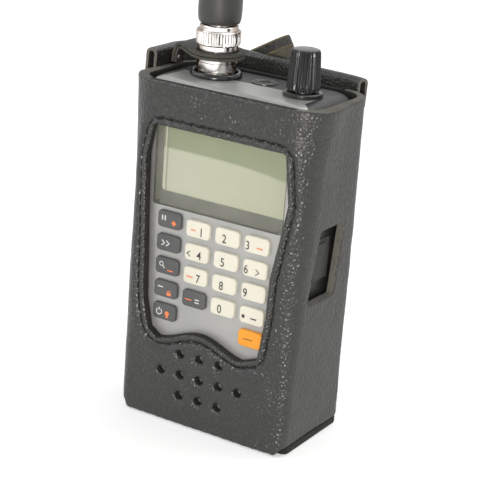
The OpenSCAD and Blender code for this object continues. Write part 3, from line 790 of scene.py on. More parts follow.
def modelStitch():
    # A short length of sewn thread, its ends dipping into their holes
    deselectAll()
    bpy.ops.mesh.primitive_uv_sphere_add(segments=8, ring_count=7, radius=stitch["radius"],
                                         rotation=(0, math.pi / 2, 0))
    piece = placed(bpy.context.object)
    inEditMode(piece, (bpy.ops.transform.resize, {"value": (stitch["length"] / 2 / stitch["radius"], 1, 1)}))
    for vert in piece.data.vertices:
        vert.co.z -= stitch["sag"] * (2 * vert.co.x / stitch["length"]) ** 2
    bpy.ops.object.shade_smooth()
    return piece


def frameAt(origin, along, outward):
    side = outward.cross(along).normalized()
    outward = along.cross(side).normalized()
    turn = Matrix((along, side, outward)).transposed().to_4x4()
    return Matrix.Translation(origin) @ turn


def windowStitchPlaces():
    places = []
    for i, a in enumerate(stitchPath):
        b = stitchPath[(i + 1) % len(stitchPath)]
        middle = (a + b) / 2
        depth = wrapDepth(middle.x, middle.y, 9.0, depthTrees) - stitch["lift"]
        origin = wrapPoint(middle.x, middle.y, depth)
        along = (wrapPoint(b.x, b.y, depth) - wrapPoint(a.x, a.y, depth)).normalized()
        places.append(frameAt(origin, along, wrapPoint(middle.x, middle.y, depth - 1) - origin))
    return places


windowStitches = copiesOf(modelStitch(), "windowStitches", windowStitchPlaces())
finishPiece(windowStitches, rootBody, [thread])

backRows = []
for side in (-1, 1):
    for k in range(int((case["height"] - 12) / stitch["backPitch"])):
        spot = Vector((side * stitch["backRow"], case["back"] - 0.02, 7 + k * stitch["backPitch"]))
        backRows.append(frameAt(spot, Vector((0, 0, 1)), Vector((0, 1, 0))))
finishPiece(copiesOf(modelStitch(), "backStitches", backRows), rootBody, [thread])
print("stitches made")


bottomFlap = {"front": -16.45, "back": 19.35, "high": 2.9, "corner": 2.6, "rim": 0.7, "inset": 0.2,
              "fuzz": 0.12}


def makeBottom():
    half = case["baseHalf"] - bottomFlap["inset"]
    piece = slab("caseBottom", (-half, bottomFlap["front"], 0),
                 (half, bottomFlap["back"], bottomFlap["high"]), bottomFlap["corner"], bottomFlap["rim"])
    inEditMode(piece, (bpy.ops.mesh.subdivide, {"number_cuts": 2}))
    for vert in piece.data.vertices:
        if 0.05 < vert.co.z < bottomFlap["high"] - 0.05:
            vert.co.x += bottomFlap["fuzz"] * noise.noise(vert.co * 1.7)
            vert.co.y += bottomFlap["fuzz"] * noise.noise(vert.co * 1.7 + Vector((9, 0, 0)))
    finishPiece(piece, rootBody, [darkEdge], ["case_bottom"], 45)


makeBottom()

backPanel = {"half": 23.85, "foot": 3.05, "top": 117.9, "front": 16.5, "edgeRound": 0.6, "grid": 2.6,
             "seamDip": 0.3}


def panelDepth(x, z, gap):
    depth = edgeDip(gap, backPanel["edgeRound"])
    depth += backPanel["seamDip"] * bump(abs(x) - stitch["backRow"], 0.7)
    return depth - 0.3 * noise.noise(Vector((x / 15, z / 19, 3.3))) + 0.25


def makeBackPanel():
    half = backPanel["half"]
    corners = [(-half, backPanel["foot"]), (half, backPanel["foot"]), (half, backPanel["top"]),
               (-half, backPanel["top"])]
    outline = spaced(corners, 1.3)
    lines = (linesBetween(-half, half, 0.7, backPanel["grid"], 20.5, 23.5),
             linesBetween(backPanel["foot"], backPanel["top"], 2.6, 2.6, 0, 0))
    points, faces = cutPattern(outline, [], [], (0.3, 0.7), lines, 0.6)
    thick = case["back"] - backPanel["front"]
    piece = leatherSolid("caseBackPanel", points, faces, [outline],
                         lambda x, z, depth: Vector((x, case["back"] - depth, z)), panelDepth, thick)
    finishPiece(piece, rootBody, [plainLeather, darkEdge, lining], ["case_back_panel"], 50)


makeBackPanel()
print("bottom and back panel made")


hem = {"gap": 0.15, "wide": 4.4, "layer": 1.15, "foot": 113.0, "top": 122.3, "crown": 0.7, "tilt": 1.9,
       "leftEnd": -3.5, "rightEnd": 29.6, "arc": 9, "wave": 0.22}


def hemSection():
    # Outer and inner halves of the folded band, each from the outside foot over the fold to the inside foot
    middle, low = hem["gap"] + hem["wide"] / 2, hem["foot"] - hem["top"]
    outer, inner = [], []
    for contour, half, peak in ((outer, hem["wide"] / 2, hem["crown"]),
                                (inner, hem["wide"] / 2 - hem["layer"], hem["crown"] - hem["layer"])):
        shoulder = peak - half * 0.95
        contour.extend([(middle + half, low), (middle + half, (low + shoulder) / 2)])
        for k in range(hem["arc"] + 1):
            a = math.pi * k / hem["arc"]
            contour.append((middle + half * math.cos(a), shoulder + half * 0.95 * math.sin(a) ** 0.9))
        contour.extend([(middle - half, (low + shoulder) / 2), (middle - half, low)])
    return outer, inner


def hemPath():
    coreX, coreY = case["mouthHalf"] - case["mouthCorner"], case["back"] - case["mouthCorner"]
    radius = case["mouthCorner"] + hem["gap"] + hem["wide"] / 2
    endTurn = math.asin((hem["rightEnd"] - coreX) / radius)
    path = []
    for k in range(11):
        path.append((Vector((-coreX, hem["leftEnd"] + (coreY - hem["leftEnd"]) * k / 11, 0)), math.pi))
    for k in range(15):
        path.append((Vector((-coreX, coreY, 0)), math.pi - math.pi / 2 * k / 15))
    for k in range(33):
        path.append((Vector((-coreX + 2 * coreX * k / 33, coreY, 0)), math.pi / 2))
    for k in range(5):
        path.append((Vector((coreX, coreY, 0)), math.pi / 2 - endTurn * k / 4))
    return path


def makeHem():
    outer, inner = hemSection()
    tilt = Matrix.Rotation(math.radians(hem["tilt"]), 4, "Y")
    solid = bmesh.new()
    rings = []
    for i, (core, turn) in enumerate(hemPath()):
        outward = Vector((math.cos(turn), math.sin(turn), 0))
        sway = hem["wave"] * noise.noise(Vector((i / 7, 2.0, 0.0)))
        ring = []
        for n, z in outer + inner[::-1]:
            lean = sway * (z - hem["foot"] + hem["top"]) / 9
            spot = core + outward * (case["mouthCorner"] + n + lean)
            spot.z = z + 0.18 * noise.noise(Vector((i / 9, 7.0, 0.0))) * (1 if z > -4 else 0)
            ring.append(solid.verts.new(tilt @ spot + Vector((0, 0, hem["top"]))))
        rings.append(ring)
    count, outerCount = len(rings[0]), len(outer)
    for a, b in zip(rings, rings[1:]):
        for k in range(count):
            face = solid.faces.new([a[k], a[(k + 1) % count], b[(k + 1) % count], b[k]])
            face.material_index = 0 if k < outerCount - 1 else (2 if outerCount <= k < count - 1 else 1)
    for ring, flip in ((rings[0], False), (rings[-1], True)):
        for k in range(outerCount - 1):
            cap = [ring[k], ring[k + 1], ring[count - 2 - k], ring[count - 1 - k]]
            solid.faces.new(cap[::-1] if flip else cap).material_index = 1
    piece = addBevel(fromShape("backHem", solid), 0.16, 2, 60)
    finishPiece(piece, rootBody, [hemLeather, rawEdge, lining], ["back_hem"], 45)


makeHem()

bnc = Vector((-15.3, 1.7, 0))
strap = {"top": 126.85, "layer": 1.12, "seam": 0.14, "ring": 9.2, "hole": 7.0, "level": -25.0,
         "rootX": -35.62, "foot": 118.7, "frontY": 4.85, "edgeRound": 0.35}


def strapCurve():
    # The upper face seen from the front: level, then bent down to the root; (x, z) at even steps
    start, end = Vector((strap["level"], strap["top"])), Vector((strap["rootX"], 120.6))
    bend = [start, Vector((-31.8, strap["top"] + 0.35)), Vector((strap["rootX"], 125.7)), end]
    points = [Vector((bnc.x + strap["ring"] + 1, strap["top"]))]
    for k in range(25):
        t = k / 24
        weights = ((1 - t) ** 3, 3 * t * (1 - t) ** 2, 3 * t * t * (1 - t), t ** 3)
        points.append(sum((w * p for w, p in zip(weights, bend)), Vector((0, 0))))
    return points + [Vector((strap["rootX"], strap["foot"]))]


def strapPlace(s, y, depth):
    # s is measured along the upper face from the antenna's axis towards the root
    walked = curveOfStrap[0].x - bnc.x + s
    for a, b in zip(curveOfStrap, curveOfStrap[1:]):
        step = (b - a).length
        if walked <= step or b is curveOfStrap[-1]:
            break
        walked -= step
    along = (b - a).normalized()
    inward = Vector((-along.y, along.x))
    spot = a + along * walked + inward * depth
    return Vector((spot.x, y, spot.y))


def strapOutline():
    length = sum((b - a).length for a, b in zip(curveOfStrap, curveOfStrap[1:])) \
        - (curveOfStrap[0].x - bnc.x)
    points = [(length, strap["frontY"]), (length, 10.4), (19.5, 10.7), (16.5, 13.1)]
    for k in range(31):
        a = math.radians(97.7 + (307.9 - 97.7) * k / 30)
        points.append((strap["ring"] * math.cos(a), bnc.y + strap["ring"] * math.sin(a)))
    return spaced(points + [(19.0, strap["frontY"])], 0.7)


def strapDepth(start):
    def depth(s, y, gap):
        return start + edgeDip(gap, strap["edgeRound"]) - 0.1 * noise.noise(Vector((s / 5, y / 5, 0.4)))
    return depth


curveOfStrap = strapCurve()


def makeStrap():
    outline = strapOutline()
    hole = circleOutline(Vector((0, bnc.y)), strap["hole"], 56)
    lines = (linesBetween(-10, 30, 1.0, 1.0, 0, 0), linesBetween(-8, 14, 1.0, 1.0, 0, 0))
    points, faces = cutPattern(outline, [hole], [(0.2, 0.45)], (0.2, 0.45), lines, 0.35)
    for name, start, materials, standsFor in (
            ("antennaStrap", 0.0, [strapLeather, strapEdge, strapEdge], ["antenna_strap"]),
            ("strapLining", strap["layer"] + strap["seam"], [strapEdge, strapEdge, lining], [])):
        piece = leatherSolid(name, points, faces, [outline, hole], strapPlace, strapDepth(start),
                             start + strap["layer"], 0.3)
        finishPiece(piece, rootBody, materials, standsFor, 50)


makeStrap()
print("hem and strap made")


loop = {"inner": 24.9, "thick": 2.0, "gap": 5.0, "long": 52.0, "wide": 52.0, "above": 9.5, "turn": 60.0,
        "stud": 102.5, "edgeRound": 0.5}


def loopPath():
    # Points of the middle line of the folded strip with their outward directions, (y, z)
    radius = loop["gap"] / 2 + loop["thick"]
    half, points = loop["long"] / 2 - radius, []
    for side in (-1, 1):
        for k in range(16):
            points.append((Vector((0, -side * half + 2 * side * half * k / 16)), Vector((side, 0))))
        for k in range(10):
            a = math.pi * k / 10
            points.append((Vector((0, side * half)), Vector((side * math.cos(a), side * math.sin(a)))))
    return points, radius


def makeBeltLoop():
    points, radius = loopPath()
    half, solid = loop["wide"] / 2, bmesh.new()
    across = [-half, -half + 0.12, -half + 0.6, -half + 2.0, -half + 3.4, -half + 3.9]
    across += [-half + 5.5 + (loop["wide"] - 11) * k / 12 for k in range(13)]
    across += [half - 3.9, half - 3.4, half - 2.0, half - 0.6, half - 0.12, half]
    last = len(across) - 2
    turn = Matrix.Translation((0, 0, loop["stud"])) @ Matrix.Rotation(math.radians(loop["turn"]), 4, "Y")
    centreY = loop["inner"] + radius
    skins = []
    for layer in (0, 1):
        rows = []
        for i, (core, outward) in enumerate(points):
            row = []
            for x in across:
                dip = edgeDip(half - abs(x), loop["edgeRound"])
                swell = 0.18 * noise.noise(Vector((x / 12, i / 5, 2.2)))
                reach = radius - loop["thick"] + dip if layer else radius - dip - 0.2 + swell
                spot = core + outward * reach
                height = spot.y + loop["above"] - loop["long"] / 2
                row.append(solid.verts.new(turn @ Vector((x, centreY + spot.x, height))))
            rows.append(row)
        skins.append(rows)
    for layer, rows in enumerate(skins):
        for i, row in enumerate(rows):
            after = rows[(i + 1) % len(rows)]
            for k in range(len(across) - 1):
                face = solid.faces.new([row[k], row[k + 1], after[k + 1], after[k]])
                piped = min(k, last - k)
                face.material_index = 1 if piped in (0, 1, 4) else (0 if piped in (2, 3) and not layer else 2)
    for end in (0, len(across) - 1):
        for i in range(len(points)):
            j = (i + 1) % len(points)
            rim = solid.faces.new([skins[0][i][end], skins[0][j][end], skins[1][j][end], skins[1][i][end]])
            rim.material_index = 1
    finishPiece(fromShape("beltLoop", solid), "loop", [plainLeather, tanEdge, oliveLeather],
                ["belt_loop"], 50)


makeBeltLoop()
finishPiece(softCopy("stud_base", "studBase", 0.6, 3), rootBody, [plainLeather],
            ["stud_base"], 35)
finishPiece(softCopy("belt_stud", "beltStud", 0.4, 3), rootBody, [steel], ["belt_stud"], 35)
print("belt loop made")


receiver = {
    "middle": -0.4, "footHalf": 29.4, "topHalf": 31.2, "front": -16.2, "back": 15.9, "foot": 3.4,
    "top": 118.2, "corner": 6.0, "roundIn": 4.2, "roundDown": 3.6, "split": 0.0, "wall": 1.6, "seam": 0.05,
    "windowLow": 27.0, "windowHigh": 108.0, "shoulderTurn": 52.0,
}
turnsOfShell = [0, 10, 22, 34, 45.0, 49, receiver["shoulderTurn"], 55, 64, 76, 90]


def receiverHalf(z):
    return receiver["footHalf"] + (receiver["topHalf"] - receiver["footHalf"]) * z / receiver["top"]


def shellLevels():
    # (height, inset) from the foot up, rounded over at the top
    levels = [(receiver["foot"], 1.0), (receiver["foot"] + 0.3, 0.35), (receiver["foot"] + 1.0, 0.0),
              (receiver["windowLow"], 0.0), (55.0, 0.0), (80.0, 0.0), (receiver["windowHigh"], 0.0)]
    for k in range(11):
        a = math.pi / 2 * k / 10
        levels.append((receiver["top"] - receiver["roundDown"] * (1 - math.sin(a)),
                       receiver["roundIn"] * (1 - math.cos(a))))
    return levels


def shellRing(z, inset, face):
    # From the left parting line round one face to the right parting line
    half, corner = receiverHalf(z) - inset, receiver["corner"] - inset / 2
    towards = 1 if face > receiver["split"] else -1
    wallY, coreX = face - towards * inset, half - corner
    split = receiver["split"] + towards * receiver["seam"]
    turns = [math.radians(t) for t in turnsOfShell]
    right = [(coreX + corner * math.sin(t), wallY - towards * corner * (1 - math.cos(t))) for t in turns]
    straight = [(-coreX + 2 * coreX * k / 14, wallY) for k in range(1, 14)]
    ring = [(-half, split)] + [(-x, y) for x, y in right[::-1]] + straight + right + [(half, split)]
    return [Vector((receiver["middle"] + x, y, z)) for x, y in ring]


def coverShell(name, face):
    levels = shellLevels()
    shape = bmesh.new()
    rings = [[shape.verts.new(p) for p in shellRing(z, inset, face)] for z, inset in levels]
    towards = 1 if face > receiver["split"] else -1
    split = receiver["split"] + towards * receiver["seam"]
    last = rings[-1]
    for k in range(1, 7):
        rings.append([shape.verts.new((v.co.x, v.co.y + (split - v.co.y) * k / 6, v.co.z)) for v in last])
    isFront = towards < 0
    blackTurns = len([t for t in turnsOfShell if t >= receiver["shoulderTurn"]])
    for level, (a, b) in enumerate(zip(rings, rings[1:])):
        for k in range(len(a) - 1):
            inWindow = blackTurns + 2 < k < len(a) - blackTurns - 4 and 3 <= level < 6
            if isFront and inWindow:
                continue
            corners = [a[k], a[k + 1], b[k + 1], b[k]]
            if len({tuple(round(c, 4) for c in v.co) for v in corners}) < 3:
                continue
            made = shape.faces.new(corners)
            shoulder = k < blackTurns or k >= len(a) - blackTurns - 1
            made.material_index = 1 if isFront and shoulder else 0
    bmesh.ops.remove_doubles(shape, verts=shape.verts, dist=0.001)
    bmesh.ops.recalc_face_normals(shape, faces=shape.faces)
    lowest = max(shape.faces, key=lambda f: f.calc_center_median().z)
    if lowest.normal.z < 0:
        bmesh.ops.reverse_faces(shape, faces=shape.faces)
    piece = fromShape(name, shape, recalculate=False)
    solidify = piece.modifiers.new("wall", "SOLIDIFY")
    solidify.thickness = receiver["wall"]
    solidify.offset = -1
    workOn(piece)
    bpy.ops.object.modifier_apply(modifier=solidify.name)
    return piece


frontCover = coverShell("frontCover", receiver["front"])
rearCover = coverShell("rearCover", receiver["back"])
finishPiece(rearCover, rootBody, [blackPlastic], ["rear_cover"], 40)
print("receiver covers made")


lens = {"left": -25.8, "right": 25.0, "foot": 75.4, "top": 105.0, "depth": 1.25, "corner": 1.2, "rim": 0.3}
lcdCut = {"left": -22.95, "right": 23.95, "foot": 80.7, "top": 104.6}
keypad = {"x": -17.9, "z": 70.5, "columnPitch": 11.4, "rowPitch": 8.18, "rise": 0.8, "wide": 9.2, "high": 5.8,
          "corner": 1.35, "rim": 0.42, "front": -17.6, "back": -14.6, "play": 0.4}
keyPlaces = {"hold_key": (0, 0), "scan_key": (0, 1), "search_key": (0, 2), "lockout_key": (0, 3),
             "power_key": (0, 4), "key_1": (1, 0), "key_2": (2, 0), "key_3": (3, 0), "key_4": (1, 1),
             "key_5": (2, 1), "key_6": (3, 1), "key_7": (1, 2), "key_8": (2, 2), "key_9": (3, 2),
             "enter_key": (1, 3), "key_0": (2, 3), "point_key": (3, 3), "function_key": (3, 4)}


def keyCentre(column, row):
    return Vector((keypad["x"] + column * keypad["columnPitch"],
                   keypad["z"] - row * keypad["rowPitch"] + (keypad["rise"] if column == 0 else 0)))


def boxOutline(left, foot, right, top, corner, gap):
    corners = ((left, foot), (right, foot), (right, top), (left, top))
    return spaced(roundedOutline([Vector(c) for c in corners], corner), gap)


def platePlace(x, z, depth):
    corner, reach = receiver["corner"], abs(x - receiver["middle"]) - receiverHalf(z) + receiver["corner"]
    back = corner - math.sqrt(max(corner ** 2 - reach ** 2, 0)) if reach > 0 else 0
    return Vector((x, receiver["front"] + back + depth, z))


def makeFrontPlate():
    # The keypad's plate, with a well round every key and the step that holds the lens
    grow, wells = keypad["play"], []
    for columnAndRow in keyPlaces.values():
        c = keyCentre(*columnAndRow)
        w, h = keypad["wide"] / 2 + grow, keypad["high"] / 2 + grow
        wells.append(boxOutline(c.x - w, c.y - h, c.x + w, c.y + h, keypad["corner"] + grow, 0.42))
    outer = boxOutline(lens["left"] - 0.12, lens["foot"] - 0.12, lens["right"] + 0.12, lens["top"] + 0.12,
                       lens["corner"], 0.8)
    inner = ringAround(outer, -0.1)
    hole = boxOutline(lcdCut["left"], lcdCut["foot"], lcdCut["right"], lcdCut["top"], 0.5, 1.0)
    reach = 28.7
    border = spaced([(receiver["middle"] - reach, 26.5), (receiver["middle"] + reach, 26.5),
                     (receiver["middle"] + reach, 108.5), (receiver["middle"] - reach, 108.5)], 1.5)
    lines = (linesBetween(-30, 30, 1.6, 1.6, 0, 0), linesBetween(26, 109, 1.6, 1.6, 0, 0))
    rings = [(0.12, 0.3, 0.55)] * len(wells) + [()]
    points, faces = cutPattern(border, wells + [hole], rings, (), lines, 0.5, creases=[outer, inner])
    wellTree = treeOf([p for well in wells for p in spaced(well, 0.2)])

    def depthAt(x, z, gap):
        spot = Vector((x, z))
        if isInside(spot, inner):
            return lens["depth"]
        return 0.16 * bump(away(wellTree, spot), 0.16) - 0.1 * bump(away(wellTree, spot) - 0.55, 0.3)

    piece = leatherSolid("frontPlate", points, faces, [border] + wells + [hole], platePlace, depthAt,
                         receiver["wall"], 0.0)
    for face in piece.data.polygons:
        centre = face.center
        if isInside(Vector((centre.x, centre.z)), outer) and centre.y > receiver["front"] + 0.3:
            face.material_index = 3
    return piece


frontPlate = makeFrontPlate()
finishPiece(frontCover, rootBody, [silverPlastic, blackPlastic], ["front_cover"], 40)
# The plate's cut walls, round the key wells and the display's hole, and its back take the darker plastic:
# painted shade.
finishPiece(frontPlate, rootBody, [silverPlastic, paintedWellShade, paintedWellShade, lensMask], (),
            32)

displayLens = slab("displayLens", (lens["left"], receiver["front"] - 0.15, lens["foot"]),
                   (lens["right"], receiver["front"] + lens["depth"] - 0.15, lens["top"]), lens["corner"],
                   lens["rim"], along=1, rims=(0,))
finishPiece(displayLens, rootBody, [clearLens], ["display_lens"], 40)
print("front plate and lens made")


def modelKey():
    # One cap, its front face slightly crowned
    w, h = keypad["wide"] / 2, keypad["high"] / 2
    piece = slab("keyCap", (-w, keypad["front"] + 0.1, -h), (w, keypad["back"], h), keypad["corner"],
                 keypad["rim"], along=1, rims=(0,), steps=(6, 4))
    selectBy(piece, "FACE", lambda f: f.normal.y < -0.99)
    bpy.ops.mesh.inset(thickness=0.5)
    bpy.ops.transform.translate(value=(0, -0.06, 0))
    bpy.ops.object.mode_set(mode="OBJECT")
    return piece


keyLooks = {"hold_key": "dark", "scan_key": "dark", "search_key": "dark", "lockout_key": "dark",
            "power_key": "dark", "enter_key": "dark", "function_key": "orange"}
keyMaterials = {"dark": (keyDark, "dark_key"), "orange": (keyOrange, "function_key"),
                "ivory": (keyIvory, "ivory_key")}
digitPlaces = {"key_1": ("1", 1.5), "key_2": ("2", -0.9), "key_3": ("3", -3.3), "key_4": ("4", 1.2),
               "key_5": ("5", -1.0), "key_6": ("6", -3.3), "key_7": ("7", 1.3), "key_8": ("8", -0.9),
               "key_9": ("9", -3.0), "key_0": ("0", -1.0)}
digit = {"size": 4.2, "bold": 0.015, "thick": 0.05, "drop": -0.65, "lift": 0.03}


def makeKeys():
    model = modelKey()
    for name, columnAndRow in keyPlaces.items():
        centre = keyCentre(*columnAndRow)
        cap = newMeshPiece(name.replace("_", "") + "Cap", model.data.copy())
        cap.data.transform(Matrix.Translation((centre.x, 0, centre.y)))
        material, slotName = keyMaterials[keyLooks.get(name, "ivory")]
        finishPiece(cap, name + "_cap", [material], [name], 40)
    bpy.data.objects.remove(model)


makeKeys()


def drawn(name, key, material, outlines):
    # A flat printed mark on a key, its outlines in millimetres round the key's middle
    centre, front = keyCentre(*keyPlaces[key]), keypad["front"] - digit["lift"]
    shape = bmesh.new()
    for outline in outlines:
        shape.faces.new([shape.verts.new((centre.x + x, front + 0.02, centre.y + z)) for x, z in outline])
    made = bmesh.ops.extrude_face_region(shape, geom=list(shape.faces))
    moved = [v for v in made["geom"] if isinstance(v, bmesh.types.BMVert)]
    bmesh.ops.translate(shape, verts=moved, vec=(0, -digit["thick"], 0))
    finishPiece(fromShape(name, shape), key + "_cap", [material])


def bar(x, z, width, height):
    return [(x - width / 2, z - height / 2), (x + width / 2, z - height / 2), (x + width / 2, z + height / 2),
            (x - width / 2, z + height / 2)]


def stroke(start, end, width):
    a, b = Vector(start), Vector(end)
    across = Vector(((a - b).y, (b - a).x)).normalized() * width / 2
    return [tuple(a + across), tuple(a - across), tuple(b - across), tuple(b + across)]


def disc(x, z, radius, steps=20):
    return [(x + radius * math.cos(2 * math.pi * k / steps), z + radius * math.sin(2 * math.pi * k / steps))
            for k in range(steps)]


def arcBand(x, z, radius, width, start, end, steps=16):
    angles = [math.radians(start + (end - start) * k / steps) for k in range(steps + 1)]
    outside, inside = radius + width / 2, radius - width / 2
    return [[(x + r * math.cos(t), z + r * math.sin(t))
             for r, t in ((outside, a), (outside, b), (inside, b), (inside, a))]
            for a, b in zip(angles, angles[1:])]


def makeDigit(key, figure, shift):
    centre = keyCentre(*keyPlaces[key])
    deselectAll()
    bpy.ops.object.text_add()
    piece = bpy.context.object
    piece.name = "figure" + figure
    piece.data.body = figure
    piece.data.size = digit["size"]
    piece.data.extrude = digit["thick"] / 2
    piece.data.offset = digit["bold"]
    piece.data.align_x = "CENTER"
    piece.data.align_y = "CENTER"
    bpy.ops.object.convert(target="MESH")
    piece = bpy.context.object
    stand = Matrix.Translation((centre.x + shift, keypad["front"] - digit["lift"], centre.y + digit["drop"]))
    piece.data.transform(stand @ Matrix.Rotation(math.pi / 2, 4, "X") @ Matrix.Scale(0.82, 4, (1, 0, 0)))
    inEditMode(piece, merged(0.001), outwardNormals())
    finishPiece(piece, key + "_cap", [markDark])


for key, (figure, shift) in digitPlaces.items():
    makeDigit(key, figure, shift)
marks = (
    ("leftArrow", "key_4", markDark,
     [stroke((-2.3, 0.4), (-3.6, -0.5), 0.28), stroke((-3.6, -0.5), (-2.3, -1.5), 0.28)]),
    ("rightArrow", "key_6", markDark,
     [stroke((0.4, 0.2), (1.7, -0.8), 0.28), stroke((1.7, -0.8), (0.4, -1.8), 0.28)]),
    ("pointDot", "point_key", markDark, [disc(-3.0, -0.5, 0.62)]),
    ("pointBar", "point_key", markDark, [bar(0.9, -0.7, 2.2, 0.42)]),
    ("powerMark", "power_key", markLight,
     arcBand(-1.9, -0.1, 1.05, 0.36, 125, 415) + [stroke((-1.9, 0.3), (-1.9, 1.45), 0.36)]),
    ("powerSpot", "power_key", markOrange, [disc(1.3, -0.3, 0.85), bar(1.3, -1.5, 0.9, 0.6)]),
    ("enterMark", "enter_key", markLight, [bar(1.5, 0.2, 1.7, 0.42), bar(1.5, -0.8, 1.7, 0.42)]),
    ("enterSpot", "enter_key", markOrange, [bar(-1.9, -0.3, 2.6, 0.4)]),
    ("holdMark", "hold_key", markLight, [bar(-2.6, 0.6, 0.5, 1.7), bar(-1.5, 0.6, 0.5, 1.7)]),
    ("holdSpot", "hold_key", markOrange, [[(1.0, -0.7), (2.0, -1.7), (3.0, -0.7), (2.0, 0.3)]]),
    ("scanMark", "scan_key", markLight,
     [stroke((-2.4, 0.9), (-1.1, 0.0), 0.42), stroke((-1.1, 0.0), (-2.4, -0.9), 0.42),
      stroke((-0.6, 0.9), (0.7, 0.0), 0.42), stroke((0.7, 0.0), (-0.6, -0.9), 0.42)]),
    ("searchMark", "search_key", markLight,
     arcBand(-2.0, 0.7, 0.72, 0.32, 0, 360) + [stroke((-1.5, 0.2), (-0.7, -0.7), 0.4)]),
    ("searchSpot", "search_key", markOrange, [bar(1.6, -1.2, 2.4, 0.4)]),
    ("lockoutMark", "lockout_key", markLight, [bar(-1.9, 0.7, 2.0, 0.42)]),
    ("lockoutSpot", "lockout_key", markOrange,
     [bar(1.6, -1.4, 1.7, 1.1)] + arcBand(1.6, -0.75, 0.52, 0.26, 0, 180)),
    ("spotOne", "key_1", markOrange, [bar(-1.6, -0.3, 1.9, 0.4)]),
    ("spotThree", "key_3", markOrange, [bar(1.3, -0.7, 2.3, 0.4)]),
    ("spotSeven", "key_7", markOrange, [bar(-2.0, -0.4, 2.6, 0.4)]),
    ("functionMark", "function_key", markBrown, [bar(-0.6, -0.1, 3.4, 0.42)]),
)
for mark in marks:
    drawn(*mark)
print("keys and marks made")


def ribbed(piece, centre, low, high, count, depth):
    # Pushes the side between two heights in and out, count times round the axis
    for vert in piece.data.vertices:
        if low < vert.co.z < high:
            turn = math.atan2(vert.co.y - centre[1], vert.co.x - centre[0])
            pull = 1 - depth * (0.5 - 0.5 * math.cos(count * turn)) / math.hypot(
                vert.co.x - centre[0], vert.co.y - centre[1])
            vert.co.x = centre[0] + (vert.co.x - centre[0]) * pull
            vert.co.y = centre[1] + (vert.co.y - centre[1]) * pull
    return piece


knob = {"centre": (19.4, -0.8), "foot": 120.15, "ribs": 18, "depth": 0.55}
knobProfile = [(0, 0.1), (4.6, 0.0), (5.0, 0.05), (5.45, 0.25), (5.6, 0.7), (5.5, 2.5), (5.3, 5.0),
               (5.1, 8.0), (4.9, 11.2), (4.8, 12.2), (4.6, 12.8), (4.3, 13.1), (3.9, 13.2), (0, 13.15)]


def makeKnob():
    profile = [(r, knob["foot"] + z) for r, z in knobProfile]
    piece = turned("volumeKnob", profile, knob["centre"], knob["ribs"] * 8)
    ribbed(piece, knob["centre"], knob["foot"] + 0.5, knob["foot"] + 12.9, knob["ribs"], knob["depth"])
    finishPiece(piece, "volume", [knobPlastic], ["volume_knob"], 40)


makeKnob()

coupling = {"knurlLow": 128.8, "knurlHigh": 133.7, "ribs": 44, "depth": 0.32}


def makeCoupling():
    low, high = coupling["knurlLow"], coupling["knurlHigh"]
    profile = [(5.6, 120.1), (6.5, 120.0), (6.7, 120.25), (6.7, 123.0), (6.55, 123.15), (6.55, 123.6),
               (6.7, 123.75), (6.7, low - 0.15), (7.05, low), (7.35, low + 0.35), (7.4, low + 0.6),
               (7.4, (low + high) / 2), (7.4, high - 0.6), (7.35, high - 0.35), (7.0, high),
               (6.6, high + 0.1), (6.45, high + 0.3), (6.45, 135.0), (6.2, 135.3), (5.7, 135.3),
               (5.6, 135.1), (5.6, 120.1)]
    piece = turned("couplingRing", profile, bnc, coupling["ribs"] * 4)
    ribbed(piece, bnc, low + 0.4, high - 0.4, coupling["ribs"], coupling["depth"])
    finishPiece(piece, "coupling", [chrome], ["coupling_ring"], 30)


makeCoupling()

jackCentre = (2.2, 4.2)
# Name, centre, steps, body, slot, material, CAD node, shading angle, then the profile
for name, centre, steps, body, slotName, material, node, angle, profile in (
        ("squelchRing", knob["centre"], 96, "squelch", "ring_plastic", ringPlastic, "squelch_ring", 40,
         [(3.1, 118.22), (6.2, 118.22), (6.55, 118.42), (6.6, 118.82), (6.55, 119.42), (6.3, 119.67),
          (5.9, 119.72), (3.1, 119.72), (3.1, 118.22)]),
        ("antennaSleeve", bnc, 96, "antenna", "antenna_rubber", sleeveRubber, "antenna_sleeve", 40,
         [(0, 135.75), (5.4, 135.75), (6.3, 135.85), (6.75, 136.15), (7.0, 136.8), (7.2, 138.0),
          (7.3, 140.0), (7.2, 150.0), (7.0, 166.0), (6.4, 220.0), (5.7, 284.0), (5.55, 291.0),
          (5.1, 294.6), (4.1, 296.8), (2.6, 297.7), (0, 297.95)]),
        ("antennaSeat", bnc, 96, rootBody, "seat_rubber", glossBlack, "antenna_seat", 40,
         [(7.25, 118.25), (8.5, 118.25), (8.75, 118.45), (8.8, 118.8), (8.6, 119.3), (8.3, 119.75),
          (7.9, 119.9), (7.45, 119.8), (7.25, 119.5), (7.25, 118.25)]),
        ("jackNut", jackCentre, 64, rootBody, "jack_ring", jackRing, "jack_nut", 35,
         [(3.0, 118.22), (4.0, 118.22), (4.2, 118.34), (4.15, 118.62), (3.9, 118.72), (3.3, 118.7),
          (3.0, 118.52), (3.0, 118.22)]),
        ("headphoneJack", jackCentre, 64, rootBody, "jack_plastic", jackRing, "headphone_jack", 35,
         [(1.8, 104.0), (2.88, 104.0), (2.88, 118.5), (2.7, 118.68), (2.1, 118.7), (1.85, 118.5),
          (1.8, 118.2), (1.8, 104.0)])):
    finishPiece(turned(name, profile, centre, steps), body, [material], [node], angle)
finishPiece(softCopy("port_cover", "portCover", 0.12, 2), "port", [portRubber], ["port_cover"],
            35)
print("knob, antenna, jack and port cover made")

